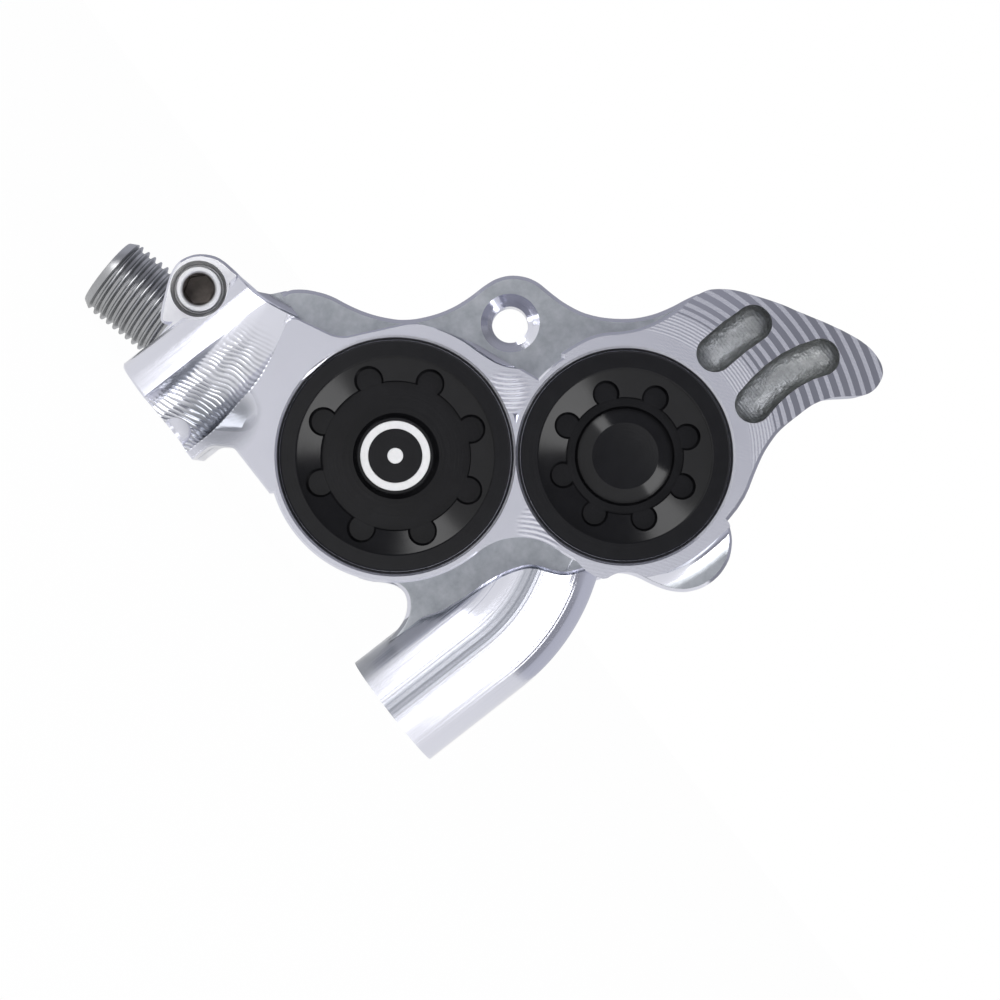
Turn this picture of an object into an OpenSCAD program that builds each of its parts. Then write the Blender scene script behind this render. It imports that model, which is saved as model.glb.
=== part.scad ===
// Hydraulic disc brake caliper with four pistons, for a bicycle frame with a flat brake mount.
// X runs along the two frame bolts, Z points away from the frame and Y lies along the rotor's axis.
// The origin is on the frame's mounting face, midway between the axes of the two bolts.

/* [Frame mount] */
// Distance between the two frame bolts
bolt_spacing = 34; // [33:0.25:36]
// Diameter of each mounting boss
boss_d = 11; // [10:0.1:12]
// Step from the outer face back to the bosses
boss_inset = 0.1; // [0.05:0.05:0.3]
// Height of the left boss
boss_height = 14; // [13:0.1:15]
// Height at which the right boss bends towards the bores
arm_bend_height = 10.5; // [9:0.1:12]
// Lean of the right arm above its bend
arm_lean = 17; // [10:0.5:24]
// Length of the right arm above its bend
arm_length = 10; // [9:0.1:11]
// Core diameter of each bolt hole
bolt_hole_d = 4.2; // [3.2:0.1:5.2]
// Depth of each bolt hole
bolt_hole_depth = 12; // [8:0.5:12.5]

/* [Body] */
// Metal behind the bores of the back half
back_wall = 3.1; // [2.6:0.1:6]
// Step from the outer face down to the ledge
ledge_drop = 5.5; // [4:0.1:6.5]
// Step from the outer face down to the recess beside the right arm
recess_drop = 3.4; // [2:0.1:5]
// Diameter of the scoop in the left boss's front
scoop_d = 6.4; // [5:0.1:7.5]
// Depth of the scoop behind the outer face
scoop_depth = 2.6; // [1.5:0.1:3]
// Step from the back face down to the back ledge
back_drop = 4; // [3:0.1:5]
// Chamfer round the back of each bore
back_chamfer = 2; // [1:0.1:3]
// Metal between a cap and the outside of its lobe
lobe_wall = 1; // [0.8:0.05:2]
// Fillet between the lobes, on the rotor's side
waist_r = 5.7; // [4:0.1:7]
// Width of the lug beside the small bore
lug_d = 9.2; // [8:0.1:10]
// Distance of the lug from the small bore's axis
lug_reach = 9.35; // [9:0.05:10]
// Sharp edges that are broken by a small chamfer
edge_chamfer = 0.4; // [0.2:0.05:0.6]

/* [Bores] */
// Place of the large bores along the bolt line
bore_x = -0.8; // [-1.5:0.1:0]
// Height of the large bores above the frame
bore_height = 14.4; // [14:0.1:15.5]
// Metal between the seal grooves of the large and the small bore
bore_web = 1.1; // [0.9:0.05:3]
// Slope of the line through the bores
bore_angle = 52; // [48:0.5:56]
// Diameter of the large pistons
piston_large_d = 18; // [17:0.1:18.4]
// Diameter of the small pistons
piston_small_d = 16; // [15:0.1:16.4]
// Length of each piston
piston_length = 9; // [8.6:0.1:9.2]
// Wall of each cup-shaped piston
piston_wall = 2.2; // [1.5:0.1:3]
// Thickness of each piston's crown, on the fluid's side
piston_crown = 2; // [1.5:0.1:3]
// Free space behind each piston
fluid_gap = 0.5; // [0.3:0.05:0.6]
// How far each piston and pad travels
piston_travel = 1.2; // [0.6:0.1:1.25]

/* [Seals] */
// Depth of the seal grooves in the bore walls
groove_depth = 1.1; // [0.8:0.05:1.15]
// Width of each pressure seal
fluid_seal_w = 1.8; // [1.5:0.05:2]
// Width of each dust seal
dust_seal_w = 0.9; // [0.7:0.05:1]
// Metal between the pad pocket, the dust seal and the pressure seal
seal_land = 0.4; // [0.3:0.05:0.5]
// Section of the round seals of the caps
cap_ring_d = 1; // [0.8:0.05:1.2]

/* [Caps] */
// How far the large cap's flange reaches past its piston
cap_large_over = 1.25; // [1.2:0.05:1.5]
// How far the small cap's flange reaches past its piston
cap_small_over = 1.3; // [1.2:0.05:1.5]
// How far the caps lie below the outer face
cap_sink = 0.2; // [0.1:0.05:0.4]
// Thickness of each cap's flange
cap_flange = 1.6; // [1.4:0.1:1.7]
// Length of each cap below its flange
cap_thread_l = 1.9; // [1.7:0.1:4]
// Step from the flange in to the thread
cap_shoulder = 0.45; // [0.35:0.05:0.5]
// Width of the flat ring round each cap
cap_rim = 1.5; // [1.2:0.05:1.6]
// Depth of the shelf inside the rim
cap_shelf_drop = 0.9; // [0.5:0.05:1.1]
// Thickness left under the deepest part of each cap
cap_floor = 1.1; // [1:0.05:1.4]
// Notches for the tool in each cap
cap_notches = 8; // [6:1:10]
// Turn of the notches about the large cap
cap_large_turn = 26.5; // [0:0.5:44]
// Turn of the notches about the small cap
cap_small_turn = 24; // [0:0.5:44]
// Radius of each notch in the large cap
notch_large_r = 1.3; // [1:0.05:1.5]
// Radius of each notch in the small cap
notch_small_r = 1.15; // [0.9:0.05:1.3]
// Step from the notches down to the floor of the recess
notch_step = 0.2; // [0.1:0.05:0.3]
// Diameter of the post in the large cap
post_large_d = 6.9; // [6:0.1:8]
// Diameter of the post in the small cap, at its top
post_small_d = 6; // [5:0.1:7]
// Spread of the small cap's post down to its foot
post_spread = 1.2; // [0.6:0.1:1.4]
// Step from the post's edge in to the ring mark
mark_inset = 0.35; // [0.25:0.05:0.8]
// Width of the ring mark
mark_w = 0.7; // [0.4:0.05:1]
// Diameter of the dot in the ring mark
mark_dot_d = 1.4; // [1:0.1:2]
// Depth of the ring mark
mark_depth = 0.2; // [0.1:0.05:0.3]

/* [Rotor space] */
// Diameter of the rotor
rotor_d = 140; // [140:1:160]
// How far the rotor's rim passes the line of the bores
rotor_reach = 8.4; // [7.5:0.1:8.6]
// Free space beyond the rotor's rim
rotor_clear = 1.5; // [1.2:0.1:1.8]
// Half the width of the rotor slot
slot_half = 2.1; // [2.1:0.05:2.4]

/* [Pads] */
// Gap from each lining to the rotor's middle plane
pad_gap = 1.35; // [1.35:0.05:1.5]
// Thickness of each lining
lining_t = 2.2; // [2:0.05:2.3]
// Thickness of each backing plate
plate_t = 1.8; // [1.6:0.05:1.9]
// Length of each backing plate
plate_l = 38; // [36:0.1:38.2]
// Distance from the line of the bores to a plate's lower edge
plate_foot = 8.5; // [8:0.1:8.6]
// Distance from the rotor's rim out to a plate's shoulders
plate_past_rim = 0.9; // [0.6:0.1:1.2]
// Step from each end of a plate in to its lining
lining_inset = 1.2; // [1:0.1:2]
// Distance from the rotor's free space out to the pin's axis
pin_above = 2.1; // [1.9:0.1:2.5]
// Height of a plate's tab above its shoulders
plate_tab_h = 2.4; // [1.7:0.1:2.7]
// Radius of the ear round the pin hole
ear_r = 3.9; // [3.6:0.1:4.2]
// Diameter of the hole in each ear
ear_hole_d = 4.6; // [4.2:0.1:5]
// Core diameter of the pin's thread in the outer wall
pin_core_d = 3.3; // [3:0.05:3.5]
// Diameter of the relief in front of the pin's thread
pin_relief_d = 4.1; // [4:0.05:4.6]
// Depth of the relief in front of the pin's thread
pin_relief_l = 3; // [2:0.1:4]
// Diameter of the pin hole through the back wall
pin_back_d = 5.4; // [5:0.1:6]
// Radius of the hollow round the pin hole in the outer face
pin_hollow_r = 4.6; // [4.2:0.1:5]

/* [Pad spring] */
// Thickness of the spring's sheet
spring_t = 0.35; // [0.25:0.05:0.4]
// Width of each leg
spring_leg_w = 1.8; // [1.5:0.1:2]
// Distance from the pin's axis to the middle of each leg
spring_leg_at = 3.6; // [3.4:0.1:3.8]
// Height of the spring's bridge above the pin's axis
spring_rise = 2.5; // [2.4:0.05:2.8]
// Distance from the rotor's rim out to the foot of each leg
spring_past_rim = 0.5; // [0.3:0.1:0.8]

/* [Bleed screw] */
// Distance of the bleed screw beyond the left bolt
bleed_out = 6.75; // [6.6:0.05:7]
// Height of the bleed screw above the frame
bleed_height = 9.6; // [9:0.1:10]
// Step from the outer face down to the bleed screw's face
bleed_drop = 6; // [5.5:0.1:6.5]
// Radius of the boss round the bleed screw
bleed_boss_r = 3.2; // [3:0.1:3.6]
// Diameter of the bleed screw
bleed_d = 4.1; // [3.8:0.1:4.4]
// Width of the clear space in front of the bleed screw
bleed_clear_d = 5.8; // [5:0.1:6.4]
// Length of the bleed screw's thread
bleed_l = 4.6; // [4.4:0.1:4.8]
// Hexagon recess across flats
bleed_key = 2.5; // [2:0.5:2.5]
// Depth of the hexagon recess
bleed_key_l = 2; // [1.6:0.1:2.4]

/* [Hose stud] */
// Distance of the stud's shoulder beyond the left bolt
stud_out = 5.9; // [5.6:0.1:6.4]
// Height of the stud's shoulder above the frame
stud_height = 5.5; // [5.4:0.1:5.8]
// Slope of the stud below the bolt line
stud_tilt = 13; // [8:0.5:15]
// Outer diameter of the hose thread
stud_d = 8; // [7.5:0.1:8.2]
// Length of the stud outside the body
stud_l = 8.9; // [7:0.1:12]
// Pitch of the hose thread
stud_pitch = 0.75; // [0.5:0.05:1]
// Plain neck between the body and the hose thread
stud_neck = 1.5; // [1:0.1:2]
// Diameter of the stud inside the body
stud_root_d = 5.8; // [5:0.1:6]
// Length of the stud inside the body
stud_root_l = 6; // [5:0.1:6]
// Bore of the stud
stud_bore_d = 2; // [1.6:0.1:2.6]
// Free space beside the stud's thread, for the hose's nut
stud_room = 0.9; // [0.85:0.05:1]
// Diameter of the body round the stud
stud_socket_d = 9.6; // [9.2:0.1:10]

/* [Fluid passages] */
// Diameter of the drilled fluid passages
passage_d = 2; // [1.6:0.1:2.2]
// Distance from the middle plane to the passages between the bores
passage_out = 12.2; // [12:0.1:12.4]
// Diameter of the plug in the cross drilling
plug_d = 3.2; // [2.6:0.1:3.6]
// Length of the plug
plug_l = 2; // [1.5:0.1:2.5]

/* [Fin] */
// Width of the fin beside the small bore
fin_w = 16.5; // [15.5:0.1:17]
// Height of the fin above the small bore's axis
fin_h = 23.2; // [22:0.1:26]
// Thickness of the fin
fin_t = 12.5; // [11:0.1:13]
// Radius round the small bore at which the fin's face starts to slope
fin_flat_r = 14.2; // [12.5:0.1:16]
// Slope of the fin's face
fin_slope = 19; // [8:0.5:24]
// Width of the two pockets in the fin
fin_pocket_w = 3.35; // [2.8:0.05:3.6]
// Depth of the pockets
fin_pocket_depth = 6; // [3:0.1:8]

/* [Clearances] */
// Radial clearance of a sliding or turning fit
fit_gap = 0.05; // [0.03:0.01:0.08]
// Radial clearance of a fixed thread or seal
still_gap = 0.02; // [0.01:0.01:0.04]
// Free space round the pads in their pocket
pad_clear = 0.3; // [0.25:0.05:0.4]
// Radial gap round a cap's flange
cap_gap = 0.05; // [0.03:0.01:0.1]

/* [Hidden] */
$fn = 96;

// Sides of the rotor: the outer side looks along -Y and the back along +Y
OUT = -1;
BACK = 1;
// Overrun of a cut past the face that it opens
over = bolt_spacing * 0.01;

// Distance between the large and the small bores
bore_spacing = piston_large_d / 2 + piston_small_d / 2 + 2 * (fit_gap + groove_depth) + bore_web;

// Places in the plane of the rotor, as [x, z]
bolt_l = [-bolt_spacing / 2, 0];
bolt_r = [bolt_spacing / 2, 0];
bore_l = [bore_x, bore_height];
along = [cos(bore_angle), sin(bore_angle)];
away = [-sin(bore_angle), cos(bore_angle)];
bore_s = bore_l + bore_spacing * along;
bore_mid = (bore_l + bore_s) / 2;
rotor_c = bore_mid - (rotor_d / 2 - rotor_reach) * away;
pin_reach = rotor_reach + rotor_clear + pin_above;
pin_c = bore_mid + pin_reach * away;
bleed_c = bolt_l + [-bleed_out, bleed_height];
stud_c = bolt_l + [-stud_out, stud_height];
stud_dir = [-cos(stud_tilt), -sin(stud_tilt)];
stud_up = [-sin(stud_tilt), cos(stud_tilt)];
cross_c = stud_c - (stud_root_l + 1.5 * passage_d / 2) * stud_dir;
// Distances from the rotor's middle plane
plate_front = pad_gap + lining_t;
plate_back = plate_front + plate_t;
pocket_half = plate_back + pad_clear + fit_gap;
piston_front = plate_back + fit_gap;
piston_back = piston_front + piston_length;
bore_end = piston_back + fluid_gap;
cap_under = bore_end + cap_thread_l;
cap_top = cap_under + cap_flange;
outer_half = cap_top + cap_sink;
inner_half = bore_end + back_wall;
dust_at = pocket_half + seal_land;
fluid_at = dust_at + dust_seal_w + seal_land;
// Place of the rotor's middle plane along Y
rotor_y = outer_half - boss_d / 2 - boss_inset;
ledge_at = outer_half - ledge_drop;
recess_at = outer_half - recess_drop;
back_at = inner_half - back_drop;
bleed_top = outer_half - bleed_drop;
stud_side = stud_d / 2 + stud_room;
link_at = stud_side + 1.3 * passage_d / 2;

// Radii
piston_large_r = piston_large_d / 2;
piston_small_r = piston_small_d / 2;
cap_large_r = piston_large_r + cap_large_over;
cap_small_r = piston_small_r + cap_small_over;
lobe_large_r = cap_large_r + lobe_wall;
lobe_small_r = cap_small_r + lobe_wall;
bleed_r = bleed_d / 2;
stud_r = stud_d / 2;
passage_r = passage_d / 2;
pocket_l = plate_l + 2 * pad_clear;
lining_l = plate_l - 2 * lining_inset;
plate_shoulder = rotor_reach + plate_past_rim;
plate_tab = plate_shoulder + plate_tab_h;
spring_top = pin_reach + spring_rise;
spring_foot = rotor_reach + spring_past_rim;
mark_d = post_large_d - 2 * mark_inset;

// Corners of the outer face left of the bores, from the left bolt to the large bore's axis:
// share of the way along, share of the way up and corner radius as a share of the way along
left_face_shares = [
    [0.056, 0.30, 0], [0.056, 1.035, 0.09], [0.30, 1.17, 0.16], [0.50, 1.64, 0.30],
    [0.80, 1.83, 0.30], [1.30, 1.98, 0], [1.00, 1.00, 0], [0.75, 0.25, 0], [0.10, 0.25, 0]
];
// Corners of the fin's face, from the small bore's axis: shares of fin_w and fin_h,
// and corner radius as a share of fin_w
fin_face_shares = [
    [-0.652, 0, 0], [-0.652, 0.190, 0.21], [-0.458, 0.363, 0.24], [-0.458, 0.652, 0.13],
    [-0.228, 0.788, 0.50], [0.420, 1.029, 0.115], [0.606, 0.879, 0.085], [0.325, 0.620, 0.48],
    [0.630, 0.220, 0.18], [0.620, 0, 0]
];
// Corners of the ledge behind the outer face, from the middle of the bores: shares of bore_spacing
ledge_shares = [
    [-1.100, -0.800, 0], [-1.210, -0.394, 0.05], [-1.122, -0.218, 0.12], [-0.837, -0.090, 0.15],
    [-0.671, 0.145, 0.25], [-0.671, 0.581, 0.176], [-0.435, 0.581, 0.20], [-0.112, 0.802, 0.22],
    [-0.068, 1.082, 0], [0.308, 0.394, 0], [-0.308, -0.394, 0], [-0.500, -0.850, 0]
];
// Corners of what the recess takes off the right boss and its arm, from the right bolt: shares of boss_d
arm_recess_shares = [
    [-0.82, 0.45, 0], [-0.49, 0.45, 0], [-0.41, 0.71, 0.30], [-0.355, 0.955, 0.30], [-0.33, 1.32, 0.40],
    [-0.27, 1.56, 0.25], [0.02, 1.84, 0], [0.02, 2.27, 0], [-0.82, 2.27, 0]
];
// Where the scoop starts beside the left bolt and where it bends forwards: shares of scoop_d
scoop_share = 0.22;
scoop_bend_share = 0.39;
// Way of the scoop above its bend: shares of scoop_d
scoop_way_shares = [-0.27, -0.49, 1.22];
// Corners of the back's upper bridge, from the small bore's axis: shares of fin_w and fin_h
upper_bridge_shares = [
    [-0.652, 0, 0], [-0.458, 0.363, 0.24], [-0.458, 0.630, 0.20], [-0.150, 0.830, 0.50],
    [0.150, 0.880, 0.15], [0.420, 0.520, 0.30], [0.600, 0.150, 0]
];
// Middle line of each pocket in the fin's face, foot and top: shares of fin_w and fin_h
fin_pocket_shares = [
    [[-0.130, 0.508], [-0.130, 0.675]],
    [[0.178, 0.502], [0.186, 0.825]]
];

// Points of a round corner at q, between the corners p and s
function turn_at(p, q, s, r, steps = 8) =
    let (
        a = (p - q) / norm(p - q),
        b = (s - q) / norm(s - q),
        half = acos(a * b) / 2,
        c = q + r / sin(half) * (a + b) / norm(a + b),
        from = q + r / tan(half) * a - c,
        start = atan2(from[1], from[0]),
        sweep = (180 - 2 * half) * sign(cross(q - p, s - q))
    )
    [for (i = [0:steps]) c + r * [cos(start + sweep * i / steps), sin(start + sweep * i / steps)]];

// Outline through corners [x, z, r], each rounded to its radius
function rounded(corners) =
    let (n = len(corners), flat = [for (p = corners) [p[0], p[1]]])
    [for (i = [0:n - 1])
        each corners[i][2] == 0
            ? [flat[i]]
            : turn_at(flat[(i + n - 1) % n], flat[i], flat[(i + 1) % n], corners[i][2])];

// Shares turned into corners, from a place and the sizes that they follow
function spread(shares, from, w, h) = [for (s = shares) [from[0] + s[0] * w, from[1] + s[1] * h, s[2] * w]];

// Place in the rotor's plane, from its steps along the bores and away from the rotor
function from_bores(t, o) = bore_mid + t * along + o * away;

// Outline in the rotor's plane, thickened between two distances from its middle plane
module slab(points, y0, y1) {
    translate([0, rotor_y + y1, 0])
        rotate([90, 0, 0])
            linear_extrude(y1 - y0)
                polygon(points);
}

// What follows stands at a place, with its Z pointing away from the rotor on one side
module outward(place, side) {
    translate([place[0], rotor_y, place[1]])
        rotate([-90 * side, 0, 0])
            children();
}

// Cylinder along Y at a place, with Y measured from the rotor's middle plane
module rod_y(place, r, y0, y1) {
    translate([place[0], rotor_y + y0, place[1]])
        rotate([-90, 0, 0])
            cylinder(h = y1 - y0, r = r);
}

// Cylinder between two points, with Y measured from the rotor's middle plane
module rod(from, to, r) {
    d = to - from;
    translate(from + [0, rotor_y, 0])
        rotate([0, acos(d[2] / norm(d)), atan2(d[1], d[0])])
            cylinder(h = norm(d), r = r);
}

// Ring between two radii and two heights
module ring(r_in, r_out, z0, z1) {
    rotate_extrude()
        polygon([[r_in, z0], [r_out, z0], [r_out, z1], [r_in, z1]]);
}

// Box that stands square to the line of the bores
module bore_line_box(t0, t1, o0, o1, y0, y1) {
    slab([from_bores(t0, o0), from_bores(t1, o0), from_bores(t1, o1), from_bores(t0, o1)], y0, y1);
}

// Both lobes round the bores, over the body's whole width
module lobes() {
    for (b = [[bore_l, lobe_large_r], [bore_s, lobe_small_r]]) {
        rod_y(b[0], b[1], -outer_half, 0);
        outward(b[0], BACK) {
            cylinder(h = inner_half - back_chamfer, r = b[1]);
            translate([0, 0, inner_half - back_chamfer])
                cylinder(h = back_chamfer, r1 = b[1], r2 = b[1] - back_chamfer);
        }
    }
}

// Web that joins the lobes, with a fillet on the rotor's side
module waist() {
    reach_l = lobe_large_r + waist_r;
    reach_s = lobe_small_r + waist_r;
    t = (reach_l ^ 2 - reach_s ^ 2 + bore_spacing ^ 2) / (2 * bore_spacing);
    o = sqrt(reach_l ^ 2 - t ^ 2);
    fillet_c = bore_l + t * along - o * away;
    difference() {
        slab([bore_l, bore_s, fillet_c], -outer_half, inner_half - back_chamfer);
        rod_y(fillet_c, waist_r, -outer_half - over, inner_half);
    }
}

// Fin beyond the small bore, whose face slopes away from it
module fin() {
    reach = fin_w + fin_h;
    difference() {
        slab(rounded(spread(fin_face_shares, bore_s, fin_w, fin_h)), -outer_half, fin_t - outer_half);
        outward(bore_s, OUT)
            translate([0, 0, outer_half])
                rotate_extrude()
                    polygon([[fin_flat_r - over / tan(fin_slope), over],
                             [reach, over],
                             [reach, (fin_flat_r - reach) * tan(fin_slope)]]);
    }
}

// Outer face left of the bores, round the pin hole and along the fin
module outer_face() {
    way = bore_l - bolt_l;
    difference() {
        union() {
            slab(rounded(spread(left_face_shares, bolt_l, way[0], way[1])), -outer_half, -pocket_half);
            fin();
        }
        rod_y(pin_c, pin_hollow_r, -outer_half - over, -ledge_at);
    }
}

// Ledge behind the outer face, which also makes the back half's side
module ledge() {
    slab(rounded(spread(ledge_shares, bore_mid, bore_spacing, bore_spacing)), -ledge_at, back_at);
    lug_c = bore_s + [lug_reach, 0];
    rod_y(lug_c, lug_d / 2, -ledge_at, -pocket_half);
    slab([bore_l + [0, -lobe_large_r / 2], bolt_r + [-boss_d / 4, boss_d * 0.7],
          bolt_r + [-boss_d / 4, bore_height + boss_d / 2], bore_s], -recess_at, -pocket_half);
}

// Bridge over the rotor beyond the pads' upper end
module upper_bridge() {
    slab(rounded(spread(upper_bridge_shares, bore_s, fin_w, fin_h)), -pocket_half, back_at);
}

// Bridge over the rotor at the left, cut square where the stud's shoulder rests on it
module left_bridge() {
    top = bleed_c[1] + bleed_boss_r * 1.12;
    slab(rounded([
        concat(stud_c - stud_socket_d / 2 * stud_up, 0),
        concat(stud_c + stud_socket_d / 2 * stud_up, 0),
        [bleed_c[0], top, bleed_boss_r * 0.4],
        [bolt_l[0] - boss_d * 0.2, top, 0],
        [bolt_l[0], boss_height, 0],
        [bolt_l[0], stud_height - stud_socket_d / 2 + boss_d * 0.2, 0]
    ]), -bleed_top, back_at - back_chamfer);
}

// Boss of the bleed screw, which ends short of the stud
module bleed_boss() {
    top = bleed_c[1] + bleed_boss_r * 1.12;
    slab(rounded([
        [bleed_c[0] + bleed_boss_r * 0.1, bleed_c[1] - bleed_boss_r * 1.42, 0],
        [bleed_c[0] - bleed_boss_r * 1.1, bleed_c[1] - bleed_boss_r * 0.15, bleed_boss_r * 0.5],
        [bleed_c[0] - bleed_boss_r * 0.7, top, bleed_boss_r * 0.6],
        [bolt_l[0] - boss_d * 0.2, top, 0],
        [bolt_l[0], bleed_c[1] - bleed_boss_r, 0]
    ]), -bleed_top, -stud_side);
}

// Mounting bosses that stand on the frame, the right one bent towards the bores
module bosses() {
    mitre = boss_d / 2 * tan(arm_lean / 2);
    translate([bolt_l[0], 0, 0])
        cylinder(h = boss_height, d = boss_d);
    difference() {
        union() {
            translate([bolt_r[0], 0, 0])
                cylinder(h = arm_bend_height + mitre, d = boss_d);
            translate([bolt_r[0], 0, arm_bend_height])
                rotate([0, -arm_lean, 0])
                    translate([0, 0, -mitre])
                        cylinder(h = arm_length + mitre, d = boss_d - 2 * boss_inset);
        }
        slab(rounded(spread(arm_recess_shares, bolt_r, boss_d, boss_d)), -outer_half - over, over - recess_at);
    }
}

// Scoop up the left boss's front, which bends forwards and runs out of the outer face
module boss_scoop() {
    r = scoop_d / 2;
    way = scoop_d * scoop_way_shares;
    mitre = r * tan(acos(way[2] / norm(way)) / 2);
    foot = [bolt_l[0] + scoop_share * scoop_d, scoop_depth - r - outer_half, 0];
    bend = foot + [0, 0, scoop_bend_share * scoop_d];
    rod(foot - [0, 0, over], bend + [0, 0, mitre], r);
    rod(bend - mitre * way / norm(way), bend + way, r - fit_gap);
}

// Round body round the root of the hose stud, pointed at its inner end
module stud_socket() {
    on_stud() {
        translate([0, 0, -stud_root_l])
            cylinder(h = stud_root_l, d = stud_socket_d);
        translate([0, 0, -stud_root_l - stud_socket_d / 4])
            cylinder(h = stud_socket_d / 4, d1 = stud_socket_d / 2, d2 = stud_socket_d);
    }
}

// Space that the rotor turns in
module rotor_space() {
    rod_y(rotor_c, rotor_d / 2 + rotor_clear, -slot_half, slot_half);
}

// Pocket that the pads drop into from the side away from the rotor
module pad_pocket() {
    bore_line_box(-pocket_l / 2, pocket_l / 2, -plate_foot - pad_clear, bore_spacing * 2, -pocket_half, pocket_half);
}

// Bore of one piston with its two seal grooves
module bore_cut(place, piston_r, side) {
    outward(place, side) {
        translate([0, 0, piston_front - piston_travel - pad_clear])
            cylinder(h = bore_end - piston_front + piston_travel + pad_clear, r = piston_r + fit_gap);
        translate([0, 0, dust_at])
            cylinder(h = dust_seal_w, r = piston_r + fit_gap + groove_depth);
        translate([0, 0, fluid_at])
            cylinder(h = fluid_seal_w, r = piston_r + fit_gap + groove_depth);
    }
}

// Stepped and chamfered seat of one cap
module cap_seat(place, cap_r) {
    outward(place, OUT) {
        translate([0, 0, bore_end - over])
            cylinder(h = outer_half - bore_end + over, r = cap_r - cap_shoulder + still_gap);
        translate([0, 0, cap_under])
            cylinder(h = outer_half - cap_under + over, r = cap_r + cap_gap);
        translate([0, 0, outer_half - edge_chamfer])
            cylinder(h = edge_chamfer + over, r1 = cap_r + cap_gap, r2 = cap_r + cap_gap + edge_chamfer + over);
    }
}

// Tapped hole for one frame bolt
module bolt_hole(place) {
    translate([place[0], 0, -over])
        cylinder(h = bolt_hole_depth + over, d = bolt_hole_d);
}

// Hole for the pads' pin, tapped in the outer wall and plain in the back wall
module pin_hole() {
    rod_y(pin_c, pin_core_d / 2, -ledge_at - over, 0);
    rod_y(pin_c, pin_relief_d / 2, -ledge_at - over, pin_relief_l - ledge_at);
    rod_y(pin_c, pin_back_d / 2, 0, back_at + over);
    outward(pin_c, OUT)
        translate([0, 0, ledge_at - edge_chamfer])
            cylinder(h = edge_chamfer + over,
                     r1 = pin_relief_d / 2, r2 = pin_relief_d / 2 + edge_chamfer + over);
}

// Hole and seat for the bleed screw, with clear space for its key beside the left boss
module bleed_hole() {
    seat = bleed_top - bleed_l - fluid_gap;
    outward(bleed_c, OUT) {
        translate([0, 0, bleed_top - fit_gap])
            cylinder(h = outer_half - bleed_top + fit_gap, d = bleed_clear_d);
        translate([0, 0, seat])
            cylinder(h = bleed_top - seat + over, r = bleed_r + fit_gap);
        translate([0, 0, seat - bleed_r + passage_r])
            cylinder(h = bleed_r - passage_r, r1 = passage_r, r2 = bleed_r + fit_gap);
        translate([0, 0, bleed_top - edge_chamfer])
            cylinder(h = edge_chamfer + over,
                     r1 = bleed_r + fit_gap, r2 = bleed_r + fit_gap + edge_chamfer + over);
    }
    rod_y(bleed_c, passage_r, -seat, -link_at);
}

// Hole for the stud's root, with the recess of its seal
module stud_hole() {
    from = [stud_c[0], 0, stud_c[1]];
    dir = [stud_dir[0], 0, stud_dir[1]];
    rod(from + over * dir, from - (stud_root_l + fit_gap) * dir, stud_root_d / 2 + still_gap);
    rod(from + over * dir, from - cap_ring_d * dir, stud_root_d / 2 + cap_ring_d);
    rod(from, [cross_c[0], 0, cross_c[1]], passage_r);
}

// Drilled ways for the fluid, from the stud and the bleed screw to every bore
module passages() {
    rod_y(cross_c, passage_r, -link_at - passage_r, back_at);
    rod_y(cross_c, plug_d / 2, back_at - plug_l, back_at + over);
    rod([bleed_c[0], -link_at, bleed_c[1]], [cross_c[0], -link_at, cross_c[1]], passage_r);
    for (side = [OUT, BACK]) {
        to_bore = bore_l - cross_c;
        gap = norm(to_bore) - piston_large_r;
        wall = cross_c + gap * to_bore / norm(to_bore);
        rod([cross_c[0], side * (pocket_half - passage_r), cross_c[1]],
            [wall[0], side * passage_out, wall[1]], passage_r);
        rod([bore_l[0], side * passage_out, bore_l[1]], [bore_s[0], side * passage_out, bore_s[1]], passage_r);
    }
}

// Round-ended pockets in the fin's face
module fin_pockets() {
    for (p = fin_pocket_shares) {
        foot = bore_s + [p[0][0] * fin_w, p[0][1] * fin_h];
        top = bore_s + [p[1][0] * fin_w, p[1][1] * fin_h];
        side = fin_pocket_w / 2 * [top[1] - foot[1], foot[0] - top[0]] / norm(top - foot);
        bottom = fin_pocket_depth - outer_half;
        slab([foot + side, top + side, top - side, foot - side], -outer_half - over, bottom);
        for (end = [foot, top])
            rod_y(end, fin_pocket_w / 2, -outer_half - over, bottom);
    }
}

module caliper_body() {
    color("silver")
    difference() {
        union() {
            lobes();
            waist();
            outer_face();
            ledge();
            upper_bridge();
            left_bridge();
            bleed_boss();
            bosses();
            stud_socket();
        }
        boss_scoop();
        rotor_space();
        pad_pocket();
        for (side = [OUT, BACK]) {
            bore_cut(bore_l, piston_large_r, side);
            bore_cut(bore_s, piston_small_r, side);
        }
        cap_seat(bore_l, cap_large_r);
        cap_seat(bore_s, cap_small_r);
        bolt_hole(bolt_l);
        bolt_hole(bolt_r);
        pin_hole();
        bleed_hole();
        stud_hole();
        passages();
        fin_pockets();
    }
}

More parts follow.
